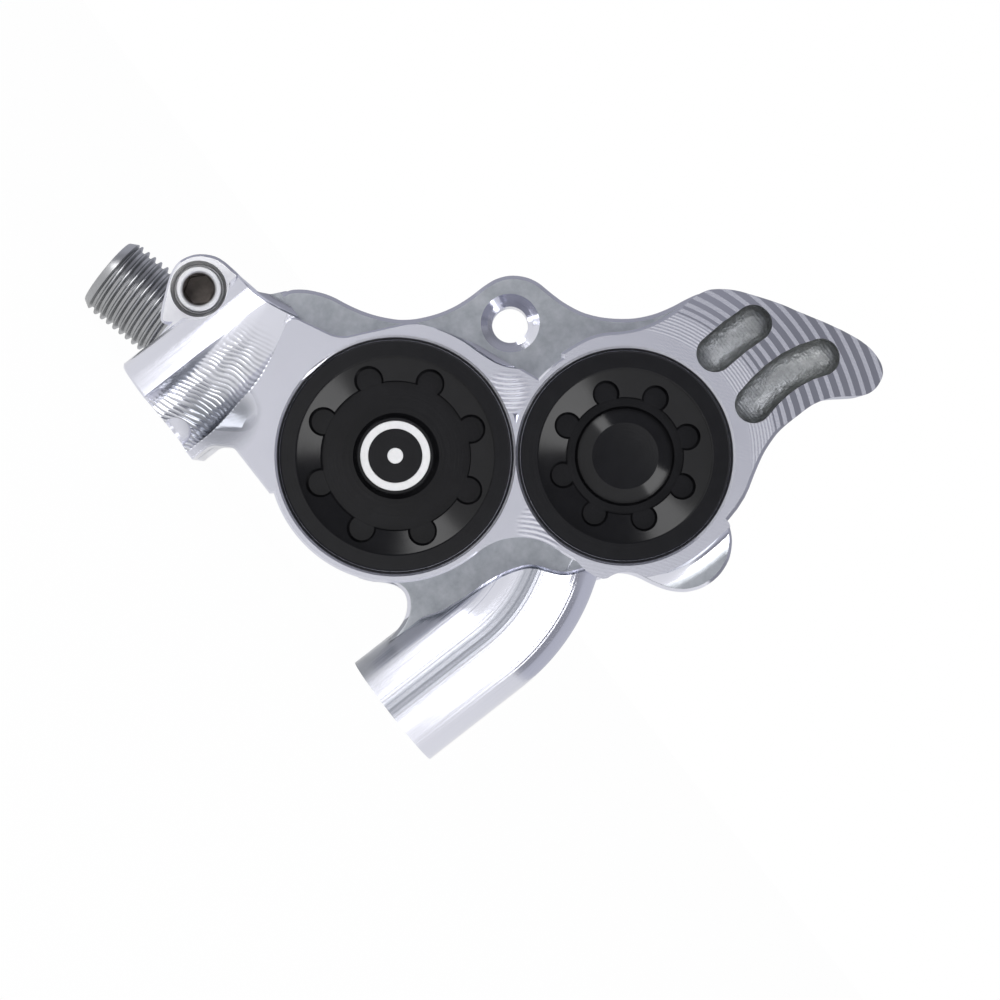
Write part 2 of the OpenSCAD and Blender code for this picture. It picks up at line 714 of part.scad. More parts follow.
// Threaded cap with a notched recess, without its post
module cap_shell(cap_r, notch_r, turn) {
    shelf_r = cap_r - cap_rim;
    pocket_r = shelf_r - 1.7 * notch_r;
    thread_r = cap_r - cap_shoulder;
    pocket_at = bore_end + cap_floor;
    difference() {
        union() {
            translate([0, 0, bore_end])
                cylinder(h = cap_under - bore_end, r = thread_r);
            translate([0, 0, cap_under])
                cylinder(h = cap_flange, r = cap_r);
        }
        translate([0, 0, cap_top - cap_shelf_drop])
            cylinder(h = cap_shelf_drop + over, r = shelf_r);
        translate([0, 0, pocket_at])
            cylinder(h = cap_top - pocket_at, r = pocket_r);
        for (i = [0:cap_notches - 1])
            rotate(turn + 360 * i / cap_notches)
                translate([shelf_r - 1.35 * notch_r, 0, pocket_at + notch_step])
                    cylinder(h = cap_top - pocket_at, r = notch_r);
        translate([0, 0, bore_end + cap_ring_d * 0.15])
            ring(thread_r - cap_ring_d, thread_r + over, 0, cap_ring_d * 1.1);
    }
}

// Post in the middle of a cap, narrower at its top by the spread
module cap_post(r, spread_r) {
    foot = bore_end + cap_floor - over;
    translate([0, 0, foot])
        cylinder(h = cap_top - spread_r - foot, r = r + spread_r);
    if (spread_r > 0)
        translate([0, 0, cap_top - spread_r])
            cylinder(h = spread_r / 2, r1 = r + spread_r, r2 = r);
}

// Ring and dot on the large cap's post
module mark_shape(grow) {
    ring(mark_d / 2 - mark_w - grow, mark_d / 2 + grow, 0, mark_depth + grow);
    cylinder(h = mark_depth + grow, r = mark_dot_d / 2 + grow);
}

module bore_cap_large() {
    color("#1b1b1e")
    outward(bore_l, OUT)
        difference() {
            union() {
                cap_shell(cap_large_r, notch_large_r, cap_large_turn);
                cap_post(post_large_d / 2, 0);
            }
            translate([0, 0, cap_top - mark_depth])
                mark_shape(still_gap);
        }
}

module bore_cap_small() {
    color("#1b1b1e")
    outward(bore_s, OUT) {
        cap_shell(cap_small_r, notch_small_r, cap_small_turn);
        cap_post(post_small_d / 2, post_spread);
    }
}

module cap_ring_mark() {
    color("white")
    outward(bore_l, OUT)
        translate([0, 0, cap_top - mark_depth])
            mark_shape(0);
}

// Round seal in the groove of a cap's thread
module cap_seal(place, cap_r) {
    r = cap_ring_d / 2;
    color("#141414")
    outward(place, OUT)
        translate([0, 0, bore_end + cap_ring_d * 0.7])
            rotate_extrude()
                translate([cap_r - cap_shoulder - r, 0])
                    circle(r = r - still_gap, $fn = 32);
}

module cap_seal_large() {
    cap_seal(bore_l, cap_large_r);
}

module cap_seal_small() {
    cap_seal(bore_s, cap_small_r);
}

// Cup-shaped piston, open towards its pad
module piston(place, r, side) {
    bevel = edge_chamfer;
    color("#c9c6bd")
    outward(place, side)
        rotate_extrude()
            polygon([
                [0, piston_back - piston_crown], [r - piston_wall, piston_back - piston_crown],
                [r - piston_wall, piston_front], [r - bevel, piston_front], [r, piston_front + bevel],
                [r, piston_back - bevel], [r - bevel, piston_back], [0, piston_back]
            ]);
}

module piston_outboard_large() {
    piston(bore_l, piston_large_r, OUT);
}

module piston_outboard_small() {
    piston(bore_s, piston_small_r, OUT);
}

module piston_inboard_large() {
    piston(bore_l, piston_large_r, BACK);
}

module piston_inboard_small() {
    piston(bore_s, piston_small_r, BACK);
}

// Seal of square section in its groove round a piston
module bore_seal(place, piston_r, side, at, w) {
    color("#141414")
    outward(place, side)
        ring(piston_r + fit_gap, piston_r + fit_gap + groove_depth - still_gap, at + still_gap, at + w - still_gap);
}

module fluid_seal_outboard_large() {
    bore_seal(bore_l, piston_large_r, OUT, fluid_at, fluid_seal_w);
}

module fluid_seal_outboard_small() {
    bore_seal(bore_s, piston_small_r, OUT, fluid_at, fluid_seal_w);
}

module fluid_seal_inboard_large() {
    bore_seal(bore_l, piston_large_r, BACK, fluid_at, fluid_seal_w);
}

module fluid_seal_inboard_small() {
    bore_seal(bore_s, piston_small_r, BACK, fluid_at, fluid_seal_w);
}

module dust_seal_outboard_large() {
    bore_seal(bore_l, piston_large_r, OUT, dust_at, dust_seal_w);
}

module dust_seal_outboard_small() {
    bore_seal(bore_s, piston_small_r, OUT, dust_at, dust_seal_w);
}

module dust_seal_inboard_large() {
    bore_seal(bore_l, piston_large_r, BACK, dust_at, dust_seal_w);
}

module dust_seal_inboard_small() {
    bore_seal(bore_s, piston_small_r, BACK, dust_at, dust_seal_w);
}

// Corner of a plate or lining, placed in the rotor's plane
function pad_corner(t, o, r) = let (p = from_bores(t, o)) [p[0], p[1], r];

// Backing plate with the ear that the pin goes through
module pad_plate(side) {
    half = plate_l / 2;
    ear_half = spring_leg_at + spring_leg_w / 2;
    y0 = side * plate_front;
    y1 = side * plate_back;
    color("#3a3b3e")
    difference() {
        union() {
            slab(rounded([
                pad_corner(-half, -plate_foot, edge_chamfer * 3),
                pad_corner(half, -plate_foot, edge_chamfer * 3),
                pad_corner(half, plate_foot * 0.4, edge_chamfer * 5),
                pad_corner(half * 0.6, plate_shoulder, ear_r),
                pad_corner(ear_half * 1.1, plate_shoulder, 0),
                pad_corner(ear_half, plate_tab, edge_chamfer),
                pad_corner(-ear_half, plate_tab, edge_chamfer),
                pad_corner(-ear_half * 1.1, plate_shoulder, 0),
                pad_corner(-half * 0.6, plate_shoulder, ear_r),
                pad_corner(-half, plate_foot * 0.4, edge_chamfer * 5)
            ]), min(y0, y1), max(y0, y1));
            rod_y(pin_c, ear_r, min(y0, y1), max(y0, y1));
        }
        rod_y(pin_c, ear_hole_d / 2, -plate_back - over, plate_back + over);
    }
}

module pad_plate_outboard() {
    pad_plate(OUT);
}

module pad_plate_inboard() {
    pad_plate(BACK);
}

// Friction block, cut along the rotor's rim
module pad_lining(side) {
    half = lining_l / 2;
    y0 = side * pad_gap;
    y1 = side * plate_front;
    color("#4a4038")
    intersection() {
        slab(rounded([
            pad_corner(-half * 0.93, -plate_foot * 0.85, edge_chamfer * 4),
            pad_corner(half * 0.93, -plate_foot * 0.85, edge_chamfer * 4),
            pad_corner(half, plate_foot * 0.2, edge_chamfer * 4),
            pad_corner(half * 0.75, plate_shoulder, edge_chamfer * 4),
            pad_corner(-half * 0.75, plate_shoulder, edge_chamfer * 4),
            pad_corner(-half, plate_foot * 0.2, edge_chamfer * 4)
        ]), min(y0, y1), max(y0, y1));
        rod_y(rotor_c, rotor_d / 2 - edge_chamfer, min(y0, y1), max(y0, y1));
    }
}

module pad_lining_outboard() {
    pad_lining(OUT);
}

module pad_lining_inboard() {
    pad_lining(BACK);
}

// Sheet spring whose four legs press the two plates apart, with an open frame above the pin
module pad_spring() {
    outside = plate_front - fit_gap;
    end = spring_leg_at + spring_leg_w / 2;
    bridge = spring_top - spring_t;
    color("#b9bcc0") {
        difference() {
            bore_line_box(-end, end, bridge, spring_top, -outside, outside);
            bore_line_box(spring_leg_w - end, end - spring_leg_w, bridge - over, spring_top + over,
                          spring_leg_w - outside, outside - spring_leg_w);
        }
        for (side = [-1, 1]) {
            t0 = side * spring_leg_at - spring_leg_w / 2;
            bore_line_box(t0, t0 + spring_leg_w, spring_foot, bridge + over, -outside, spring_t - outside);
            bore_line_box(t0, t0 + spring_leg_w, spring_foot, bridge + over, outside - spring_t, outside);
        }
    }
}

module bleed_screw() {
    head = bleed_top - cap_sink;
    foot = head - bleed_l;
    groove = cap_ring_d / 2;
    color("#d5d8dc")
    outward(bleed_c, OUT)
        difference() {
            union() {
                translate([0, 0, foot])
                    cylinder(h = bleed_l - edge_chamfer, r = bleed_r);
                translate([0, 0, head - edge_chamfer])
                    cylinder(h = edge_chamfer, r1 = bleed_r, r2 = bleed_r - edge_chamfer);
                translate([0, 0, foot - bleed_r + passage_r])
                    cylinder(h = bleed_r - passage_r, r1 = passage_r, r2 = bleed_r);
            }
            translate([0, 0, head - bleed_key_l])
                cylinder(h = bleed_key_l + over, r = bleed_key / sqrt(3), $fn = 6);
            translate([0, 0, foot + groove])
                ring(bleed_r - groove, bleed_r + over, 0, groove * 1.2);
        }
}

module bleed_screw_seal() {
    groove = cap_ring_d / 2;
    foot = bleed_top - cap_sink - bleed_l;
    color("#141414")
    outward(bleed_c, OUT)
        translate([0, 0, foot + groove * 1.6])
            rotate_extrude()
                translate([bleed_r - groove / 2, 0])
                    circle(r = groove / 2 - still_gap, $fn = 24);
}

// What follows stands on the stud's shoulder, with its Z along the stud and away from the body
module on_stud() {
    translate([stud_c[0], rotor_y, stud_c[1]])
        rotate([0, -90 - stud_tilt, 0])
            children();
}

// Half section of the stud: root, neck, thread ridges and chamfered end
function stud_section() =
    let (
        core = stud_r - 0.55 * stud_pitch,
        turns = floor((stud_l - stud_neck - stud_pitch) / stud_pitch)
    )
    concat(
        [[stud_bore_d / 2, -stud_root_l], [stud_root_d / 2, -stud_root_l],
         [stud_root_d / 2, 0], [core, 0], [core, stud_neck]],
        [for (i = [0:turns - 1])
            let (z = stud_neck + i * stud_pitch)
            each [[core, z + 0.1 * stud_pitch], [stud_r, z + 0.4 * stud_pitch],
                  [stud_r, z + 0.6 * stud_pitch], [core, z + 0.9 * stud_pitch]]],
        [[core, stud_l - stud_pitch], [core - stud_pitch * 0.7, stud_l],
         [stud_bore_d, stud_l], [stud_bore_d / 2, stud_l - stud_bore_d]]
    );

module hose_stud() {
    color("#7d8187")
    on_stud()
        rotate_extrude()
            polygon(stud_section());
}

module hose_stud_seal() {
    r = cap_ring_d / 2;
    color("#141414")
    on_stud()
        translate([0, 0, -r])
            rotate_extrude()
                translate([stud_root_d / 2 + r, 0])
                    circle(r = r - still_gap, $fn = 32);
}

module passage_plug() {
    color("#b9bcc0")
    rod_y(cross_c, plug_d / 2 - still_gap, back_at - plug_l + still_gap, back_at);
}

caliper_body();
bore_cap_large();
bore_cap_small();
cap_ring_mark();
cap_seal_large();
cap_seal_small();
piston_outboard_large();
piston_outboard_small();
piston_inboard_large();
piston_inboard_small();
fluid_seal_outboard_large();
fluid_seal_outboard_small();
fluid_seal_inboard_large();
fluid_seal_inboard_small();
dust_seal_outboard_large();
dust_seal_outboard_small();
dust_seal_inboard_large();
dust_seal_inboard_small();
pad_plate_outboard();
pad_plate_inboard();
pad_lining_outboard();
pad_lining_inboard();
pad_spring();
bleed_screw();
bleed_screw_seal();
hose_stud();
hose_stud_seal();
passage_plug();
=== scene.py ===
"""Bicycle disc brake caliper: its detailed pieces, finishes and studio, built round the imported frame."""
import logging
from dataclasses import dataclass, field
from enum import Enum
from math import acos, cos, degrees, pi, radians, sin, sqrt, tan
from typing import Iterable, Optional, Sequence

import bmesh
import bpy
from bmesh.types import BMesh, BMFace, BMVert
from mathutils import Matrix, Vector


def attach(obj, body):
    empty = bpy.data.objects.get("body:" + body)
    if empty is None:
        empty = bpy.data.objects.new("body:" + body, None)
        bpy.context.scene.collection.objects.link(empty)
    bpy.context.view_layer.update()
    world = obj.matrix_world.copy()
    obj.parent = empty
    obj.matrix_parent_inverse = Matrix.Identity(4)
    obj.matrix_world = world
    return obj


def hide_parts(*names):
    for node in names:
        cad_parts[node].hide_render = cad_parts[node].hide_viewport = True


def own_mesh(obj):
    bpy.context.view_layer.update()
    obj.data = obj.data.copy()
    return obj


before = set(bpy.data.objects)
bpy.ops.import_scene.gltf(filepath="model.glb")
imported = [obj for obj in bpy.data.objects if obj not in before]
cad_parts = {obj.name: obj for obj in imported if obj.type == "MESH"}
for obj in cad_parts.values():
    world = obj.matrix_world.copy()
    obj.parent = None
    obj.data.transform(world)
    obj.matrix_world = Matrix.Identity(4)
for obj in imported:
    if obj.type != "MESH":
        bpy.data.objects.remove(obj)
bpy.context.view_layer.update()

log = logging.getLogger("caliper")

MM = 0.001
Point = tuple[float, float]
Corner = tuple[float, float, float]
Path = tuple[Corner, ...]
Colour = tuple[float, float, float]
Socket = bpy.types.NodeSocket


class Side(Enum):
    """The two sides of the rotor: the outer side looks along -Y and the back along +Y."""

    OUT = -1
    BACK = 1


class Join(Enum):
    """The ways in which a shape is joined with others."""

    ADD = "UNION"
    CUT = "DIFFERENCE"
    COMMON = "INTERSECT"


@dataclass(frozen=True)
class Layout:
    """Places in the rotor's plane and levels along Y that several pieces share, in millimetres."""

    rotor_y: float = 13.0
    outer_y: float = -5.6
    ledge_y: float = -0.1
    recess_y: float = -2.2
    pocket_half: float = 5.7
    front_half: float = 8.0
    back_ledge_y: float = 27.0
    back_y: float = 31.0
    large_r: float = 9.0
    small_r: float = 8.0
    cap_large_r: float = 10.25
    cap_small_r: float = 9.3
    bore_angle: float = 52.0
    bore_spacing: float = 20.4
    bore_l: Point = (-0.8, 14.4)
    pin: Point = (-3.98, 29.83)
    bleed: Point = (-23.75, 9.6)
    bleed_y: float = 0.4
    foot_l: float = -17.0
    foot_r: float = 17.0
    foot_radius: float = 5.5
    stud: Point = (-22.9, 5.5)
    stud_tilt: float = 13.0
    arm_bend: Point = (2.9, 10.5)
    arm_lean: float = 33.0

    @property
    def along(self) -> Point:
        """Direction from the large bore to the small one."""
        return cos(radians(self.bore_angle)), sin(radians(self.bore_angle))

    @property
    def bore_s(self) -> Point:
        """Axis of the small bores."""
        return self.on_bores(self.bore_spacing, 0.0, self.bore_l)

    @property
    def stud_axis(self) -> Vector:
        """Direction in which the hose stud points."""
        tilt = radians(self.stud_tilt)
        return Vector((-cos(tilt), 0, -sin(tilt)))

    @property
    def stud_shoulder(self) -> Vector:
        """Middle of the hose stud's shoulder."""
        return Vector((self.stud[0], self.rotor_y, self.stud[1]))

    @property
    def plug(self) -> Point:
        """Middle of the plug that closes the cross drilling."""
        tilt = radians(self.stud_tilt)
        return self.stud[0] + 7.5 * cos(tilt), self.stud[1] + 7.5 * sin(tilt)

    @property
    def bore_mid(self) -> Point:
        """Point midway between the two bores."""
        return self.on_bores(self.bore_spacing / 2, 0.0, self.bore_l)

    @property
    def rotor(self) -> Point:
        """Axis of the rotor."""
        return self.on_bores(0.0, -61.6)

    def on_bores(self, t: float, o: float, start: Optional[Point] = None) -> Point:
        """Steps along the bores and away from the rotor.

        Args:
            t: Step along the line of the bores.
            o: Step away from the rotor.
            start: Where the steps begin, or None for the middle of the bores.

        Returns:
            The point that the steps lead to.
        """
        x, z = start or self.bore_mid
        ax, az = self.along
        return x + t * ax - o * az, z + t * az + o * ax


PLACE = Layout()


@dataclass(frozen=True)
class MillPaths:
    """Paths of the ball mills' centres and their radii, shared by the body and its finish."""

    scoop: Path = (
        (-15.6, -6.2, -5.0), (-15.6, -6.2, 2.5), (-15.75, -6.55, 4.8), (-16.25, -7.4, 8.5),
        (-17.7, -8.35, 13.7), (-18.5, -8.9, 16.5),
    )
    scoop_r: float = 3.2
    heel: Path = ((-14.7, -3.9, -3.0), (-14.7, -3.9, 0.3))
    heel_r: float = 1.5
    flare: Path = ((-15.4, -12.05, 4.2), (-12.4, -12.38, 6.1))
    flare_r: float = 7.0
    slots: tuple[Path, ...] = (
        ((9.5, -1.28, 42.3), (9.4, -1.45, 44.5), (9.5, -1.6, 46.7)),
        ((15.15, -1.28, 42.2), (14.85, -1.32, 43.7), (14.72, -1.38, 45.2), (14.8, -1.5, 46.8),
         (15.1, -1.68, 48.3), (15.6, -1.9, 49.7)),
    )
    slot_r: float = 1.68


MILLS = MillPaths()


@dataclass(frozen=True)
class Rim:
    """How the rim of a slab is broken: the width of the break, and its steps where it is round."""

    width: float = 0.0
    segments: int = 1


SHARP = Rim()


def linked(name: str, data: bpy.types.ID) -> bpy.types.Object:
    """New object in the scene."""
    thing = bpy.data.objects.new(name, data)
    bpy.context.scene.collection.objects.link(thing)
    return thing


def evaluated(thing: bpy.types.Object) -> bpy.types.Mesh:
    """New mesh of an object with its modifiers applied."""
    bpy.context.view_layer.update()
    return bpy.data.meshes.new_from_object(thing.evaluated_get(bpy.context.evaluated_depsgraph_get()))


class Shape:
    """A closed shape in millimetres, made with bmesh operators and joined to others by booleans."""

    def __init__(self) -> None:
        self.bm: BMesh = bmesh.new()

    @classmethod
    def slab(
        cls, corners: Sequence[Corner], y0: float, y1: float, front: Rim = SHARP, back: Rim = SHARP,
    ) -> "Shape":
        """Outline in the rotor's plane, thickened along Y.

        Args:
            corners: Corners of the outline as x, z and radius.
            y0: Level of the front face.
            y1: Level of the back face.
            front: Break of the front rim.
            back: Break of the back rim.

        Returns:
            The slab.
        """
        shape = cls()
        bm = shape.bm
        verts = [bm.verts.new((x, y0, z)) for x, z, _ in corners]
        bm.faces.new(verts)
        count = len(corners)
        for i, (vert, (x, z, radius)) in enumerate(zip(verts, corners)):
            if radius <= 0:
                continue
            here = Vector((x, z))
            a = (Vector(corners[i - 1][:2]) - here).normalized()
            b = (Vector(corners[(i + 1) % count][:2]) - here).normalized()
            half = acos(max(-1.0, min(1.0, a.dot(b)))) / 2
            steps = max(2, round(degrees(pi - 2 * half) / 5))
            shape._bevel([vert], "VERTICES", offset=radius / tan(half), segments=steps)
        return shape._thicken(y0, y1, front, back)

    @classmethod
    def soft_slab(
        cls, points: Sequence[Point], y0: float, y1: float, front: Rim = SHARP, back: Rim = SHARP,
    ) -> "Shape":
        """Outline through points that are all rounded off, thickened along Y.

        Args:
            points: Points of the outline.
            y0: Level of the front face.
            y1: Level of the back face.
            front: Break of the front rim.
            back: Break of the back rim.

        Returns:
            The slab.
        """
        shape = cls()
        bm = shape.bm
        verts = [bm.verts.new((x, y0, z)) for x, z in points]
        bm.faces.new(verts)
        shape._bevel(verts, "VERTICES", offset=46, offset_type="PERCENT", segments=4)
        return shape._thicken(y0, y1, front, back)

    def _thicken(self, y0: float, y1: float, front: Rim, back: Rim) -> "Shape":
        """Pulls the one face at y0 to y1 and breaks both rims.

        Args:
            y0: Level of the face.
            y1: Level that it is pulled to.
            front: Break of the rim at y0.
            back: Break of the rim at y1.

        Returns:
            This shape.
        """
        self.pull(self.bm.faces[:], (0, y1 - y0, 0))
        self.face_out()
        for level, rim in ((y0, front), (y1, back)):
            self._break_rim(level, rim)
        return self

    def pull(self, faces: list[BMFace], way: Corner, keep: bool = True) -> list[BMFace]:
        """Extrudes faces.

        Args:
            faces: Faces that are extruded.
            way: Length and direction of the pull.
            keep: Whether the faces stay where they were as well.

        Returns:
            The faces at the far end.
        """
        made = bmesh.ops.extrude_face_region(self.bm, geom=faces, use_keep_orig=keep)["geom"]
        bmesh.ops.translate(self.bm, verts=[v for v in made if isinstance(v, BMVert)], vec=way)
        return [f for f in made if isinstance(f, BMFace)]

    def face_out(self) -> "Shape":
        """Turns all faces outward."""
        bmesh.ops.recalc_face_normals(self.bm, faces=self.bm.faces[:])
        return self

    def _bevel(self, parts: list, affect: str, offset_type: str = "OFFSET", **how: object) -> None:
        """Bevels edges or corners, which keep their material."""
        bmesh.ops.bevel(
            self.bm, geom=parts, affect=affect, offset_type=offset_type, profile=0.5, material=-1, **how,
        )

    def _break_rim(self, level: float, rim: Rim) -> None:
        """Bevels the rim of the face at a level.

        Args:
            level: Level of the face along Y.
            rim: Width and steps of the break.
        """
        if rim.width <= 0:
            return
        edges = [e for e in self.bm.edges if all(abs(v.co.y - level) < 1e-5 for v in e.verts)]
        self._bevel(edges, "EDGES", offset=rim.width, segments=rim.segments, clamp_overlap=False)

    @classmethod
    def lathe(cls, profile: Sequence[Point], steps: int = 128) -> "Shape":
        """Profile turned once round the Z axis.

        Args:
            profile: Points of the profile as radius and height.
            steps: Steps of the turn.

        Returns:
            The turned shape.
        """
        shape = cls()
        bm = shape.bm
        verts = [bm.verts.new((r, 0, h)) for r, h in profile]
        closed = profile[0][0] > 0
        pairs = list(zip(verts, verts[1:])) + ([(verts[-1], verts[0])] if closed else [])
        edges = [bm.edges.new(pair) for pair in pairs]
        bmesh.ops.spin(
            bm, geom=verts + edges, cent=(0, 0, 0), axis=(0, 0, 1), angle=2 * pi,
            steps=steps, use_merge=True,
        )
        bmesh.ops.remove_doubles(bm, verts=bm.verts[:], dist=1e-5)
        return shape.face_out()

    @classmethod
    def ball(cls, centre: Sequence[float], radius: float) -> "Shape":
        """Ball at a place."""
        shape = cls()
        bmesh.ops.create_uvsphere(shape.bm, u_segments=48, v_segments=24, radius=radius)
        return shape.move(Matrix.Translation(centre))

    @classmethod
    def rod(cls, start: Sequence[float], end: Sequence[float], radius: float, steps: int = 64) -> "Shape":
        """Cylinder between two points.

        Args:
            start: Middle of one end.
            end: Middle of the other end.
            radius: Radius of the rod.
            steps: Sides of the rod.

        Returns:
            The rod.
        """
        shape = cls()
        a, b = Vector(start), Vector(end)
        bmesh.ops.create_cone(
            shape.bm, cap_ends=True, segments=steps, radius1=radius, radius2=radius, depth=(b - a).length,
        )
        turn = (b - a).to_track_quat("Z", "Y").to_matrix().to_4x4()
        return shape.move(Matrix.Translation((a + b) / 2) @ turn)

    @classmethod
    def rod_y(cls, place: Point, radius: float, y0: float, y1: float, steps: int = 64) -> "Shape":
        """Cylinder along Y at a place in the rotor's plane."""
        return cls.rod((place[0], y0, place[1]), (place[0], y1, place[1]), radius, steps)

    def move(self, matrix: Matrix) -> "Shape":
        """Moves the whole shape by a matrix."""
        bmesh.ops.transform(self.bm, matrix=matrix, verts=self.bm.verts[:])
        return self

    def outward(self, place: Point, side: Side) -> "Shape":
        """Stands the shape in the rotor's plane at a place, its Z pointing away from the rotor."""
        turn = Matrix.Rotation(radians(-90 * side.value), 4, "X")
        return self.move(Matrix.Translation((place[0], PLACE.rotor_y, place[1])) @ turn)

    def _object(self, name: str) -> bpy.types.Object:
        """Turns the shape into an object with its mesh in millimetres.

        Args:
            name: Name of the object and its mesh.

        Returns:
            The object. The shape is used up.
        """
        mesh = bpy.data.meshes.new(name)
        self.bm.to_mesh(mesh)
        self.bm.free()
        return linked(name, mesh)

    def joined(self, how: Join, others: Iterable["Shape"]) -> "Shape":
        """Joins the shape with others by booleans.

        Args:
            how: Way in which they are joined.
            others: Shapes that are joined to this one, in order.

        Returns:
            The joined shape. This one and the others are used up.
        """
        base = self._object("work_base")
        tools = [other._object("work_tool") for other in others]
        for tool in tools:
            modifier = base.modifiers.new("join", "BOOLEAN")
            modifier.object = tool
            modifier.operation = how.value
            modifier.solver = "MANIFOLD"
        mesh = evaluated(base)
        result = Shape()
        result.bm.from_mesh(mesh)
        bpy.data.meshes.remove(mesh)
        for thing in [base, *tools]:
            old = thing.data
            bpy.data.objects.remove(thing)
            bpy.data.meshes.remove(old)
        return result

    def add(self, *others: "Shape") -> "Shape":
        """This shape with others added."""
        return self.joined(Join.ADD, others)

    def cut(self, *others: "Shape") -> "Shape":
        """This shape with others cut away."""
        return self.joined(Join.CUT, others)

    def piece(self, name: str, crease: float = 19.0) -> bpy.types.Object:
        """Finishes the shape as an object in metres, smooth except across its creases.

        Args:
            name: Name of the piece.
            crease: Angle in degrees above which an edge stays sharp.

        Returns:
            The object, at the origin and unturned.
        """
        bm = self.bm
        bmesh.ops.remove_doubles(bm, verts=bm.verts[:], dist=2e-4)
        bmesh.ops.dissolve_degenerate(bm, edges=bm.edges[:], dist=1e-4)
        bmesh.ops.scale(bm, verts=bm.verts[:], vec=(MM, MM, MM))
        for face in bm.faces:
            face.smooth = True
        for edge in bm.edges:
            edge.smooth = edge.is_manifold and edge.calc_face_angle(0.0) < radians(crease)
        thing = self._object(name)
        modifier = thing.modifiers.new("flat faces stay flat", "WEIGHTED_NORMAL")
        modifier.keep_sharp = True
        modifier.weight = 60
        dressed = evaluated(thing)
        thing.modifiers.clear()
        plain = thing.data
        thing.data = dressed
        bpy.data.meshes.remove(plain)
        dressed.name = name
        return thing


class Graph:
    """Short calls for the nodes of one material, or of the world."""

    def __init__(self, name: str, world: bool = False) -> None:
        data = bpy.data.worlds if world else bpy.data.materials
        self.owner: bpy.types.Material | bpy.types.World = data.new(name)
        self.owner.use_nodes = True
        self.tree = self.owner.node_tree
        self.shader = self.tree.nodes["Background" if world else "Principled BSDF"]
        self.output = self.tree.nodes["World Output" if world else "Material Output"]
        self._place: Optional[Socket] = None

    def node(self, kind: str, inputs: Optional[dict] = None, **settings: object) -> bpy.types.Node:
        """Adds a node.

        Args:
            kind: Type of the node.
            inputs: Values or sockets by the name or number of the input.
            settings: Properties of the node.

        Returns:
            The node.
        """
        made = self.tree.nodes.new(kind)
        for key, value in settings.items():
            setattr(made, key, value)
        for key, value in (inputs or {}).items():
            self.feed(made.inputs[key], value)
        return made

    def feed(self, socket: Socket, value: object) -> None:
        """Links a socket to an input, or sets its value, where a colour is opaque."""
        if isinstance(value, Socket):
            self.tree.links.new(value, socket)
        else:
            socket.default_value = (*value, 1.0) if socket.type == "RGBA" else value

    @property
    def place(self) -> Socket:
        """Object coordinates in millimetres."""
        if self._place is None:
            coords = self.node("ShaderNodeTexCoord").outputs["Object"]
            self._place = self.vector("SCALE", coords, scale=1 / MM)
        return self._place

    def math(
        self, operation: str, a: object, b: object = 0.0, c: object = 0.0, clamp: bool = False,
    ) -> Socket:
        """Result of a Math node."""
        inputs = {0: a, 1: b, 2: c}
        return self.node("ShaderNodeMath", inputs, operation=operation, use_clamp=clamp).outputs[0]

    def vector(self, operation: str, a: object, b: object = (0, 0, 0), scale: object = 1.0) -> Socket:
        """Result of a Vector Math node, which is a number for LENGTH, DISTANCE and DOT_PRODUCT."""
        made = self.node("ShaderNodeVectorMath", {0: a, 1: b, 3: scale}, operation=operation)
        number = operation in ("LENGTH", "DISTANCE", "DOT_PRODUCT")
        return made.outputs["Value" if number else "Vector"]

    def axes(self, vector: object) -> tuple[Socket, ...]:
        """The three components of a vector."""
        return tuple(self.node("ShaderNodeSeparateXYZ", {0: vector}).outputs)

    def radius_about(self, place: Point) -> Socket:
        """Distance from an axis along Y at a place, in millimetres."""
        flat = self.vector("MULTIPLY", self.place, (1, 0, 1))
        return self.vector("DISTANCE", flat, (place[0], 0, place[1]))

    def cut_by(self, path: Path, radius: float) -> Socket:
        """Share that is 1 on a surface that a ball mill left along its path.

        Args:
            path: Path of the mill's centre.
            radius: Radius of the mill.

        Returns:
            The share.
        """
        nearest: Optional[Socket] = None
        for start, end in zip(path, path[1:]):
            way = Vector(end) - Vector(start)
            off = self.vector("SUBTRACT", self.place, start)
            dot = self.vector("DOT_PRODUCT", off, way)
            along = self.math("MULTIPLY", dot, 1 / way.length_squared, clamp=True)
            distance = self.vector("DISTANCE", off, self.vector("SCALE", way, scale=along))
            nearest = distance if nearest is None else self.math("MINIMUM", nearest, distance)
        return self.math("SUBTRACT", 1.0, self.step(nearest, radius + 0.03, radius + 0.08))

    def step(self, value: object, start: float, end: float) -> Socket:
        """Smooth rise from 0 to 1 between two values."""
        inputs = {"Value": value, "From Min": start, "From Max": end}
        return self.node("ShaderNodeMapRange", inputs, interpolation_type="SMOOTHSTEP").outputs[0]

    def both(self, *factors: object) -> object:
        """Product of several factors."""
        result = factors[0]
        for factor in factors[1:]:
            result = self.math("MULTIPLY", result, factor)
        return result

    def total(self, *parts: object) -> object:
        """Sum of several numbers."""
        result = parts[0]
        for part in parts[1:]:
            result = self.math("ADD", result, part)
        return result

    def rest(self, share: object) -> Socket:
        """What a share leaves of 1."""
        return self.math("SUBTRACT", 1.0, share)

    def over(self, value: object, limit: float) -> Socket:
        """Share that is 1 above a limit and 0 below."""
        return self.math("GREATER_THAN", value, limit)

    def under(self, value: object, limit: float) -> Socket:
        """Share that is 1 below a limit and 0 above."""
        return self.math("LESS_THAN", value, limit)

    def noise(
        self, scale: float, detail: float = 3.0, roughness: float = 0.5, vector: object = None,
    ) -> Socket:
        """Noise between 0 and 1 on the place in millimetres or on another vector."""
        inputs = {"Vector": self.place if vector is None else vector, "Scale": scale, "Detail": detail}
        made = self.node("ShaderNodeTexNoise", inputs)
        made.inputs["Roughness"].default_value = roughness
        return made.outputs["Fac"]

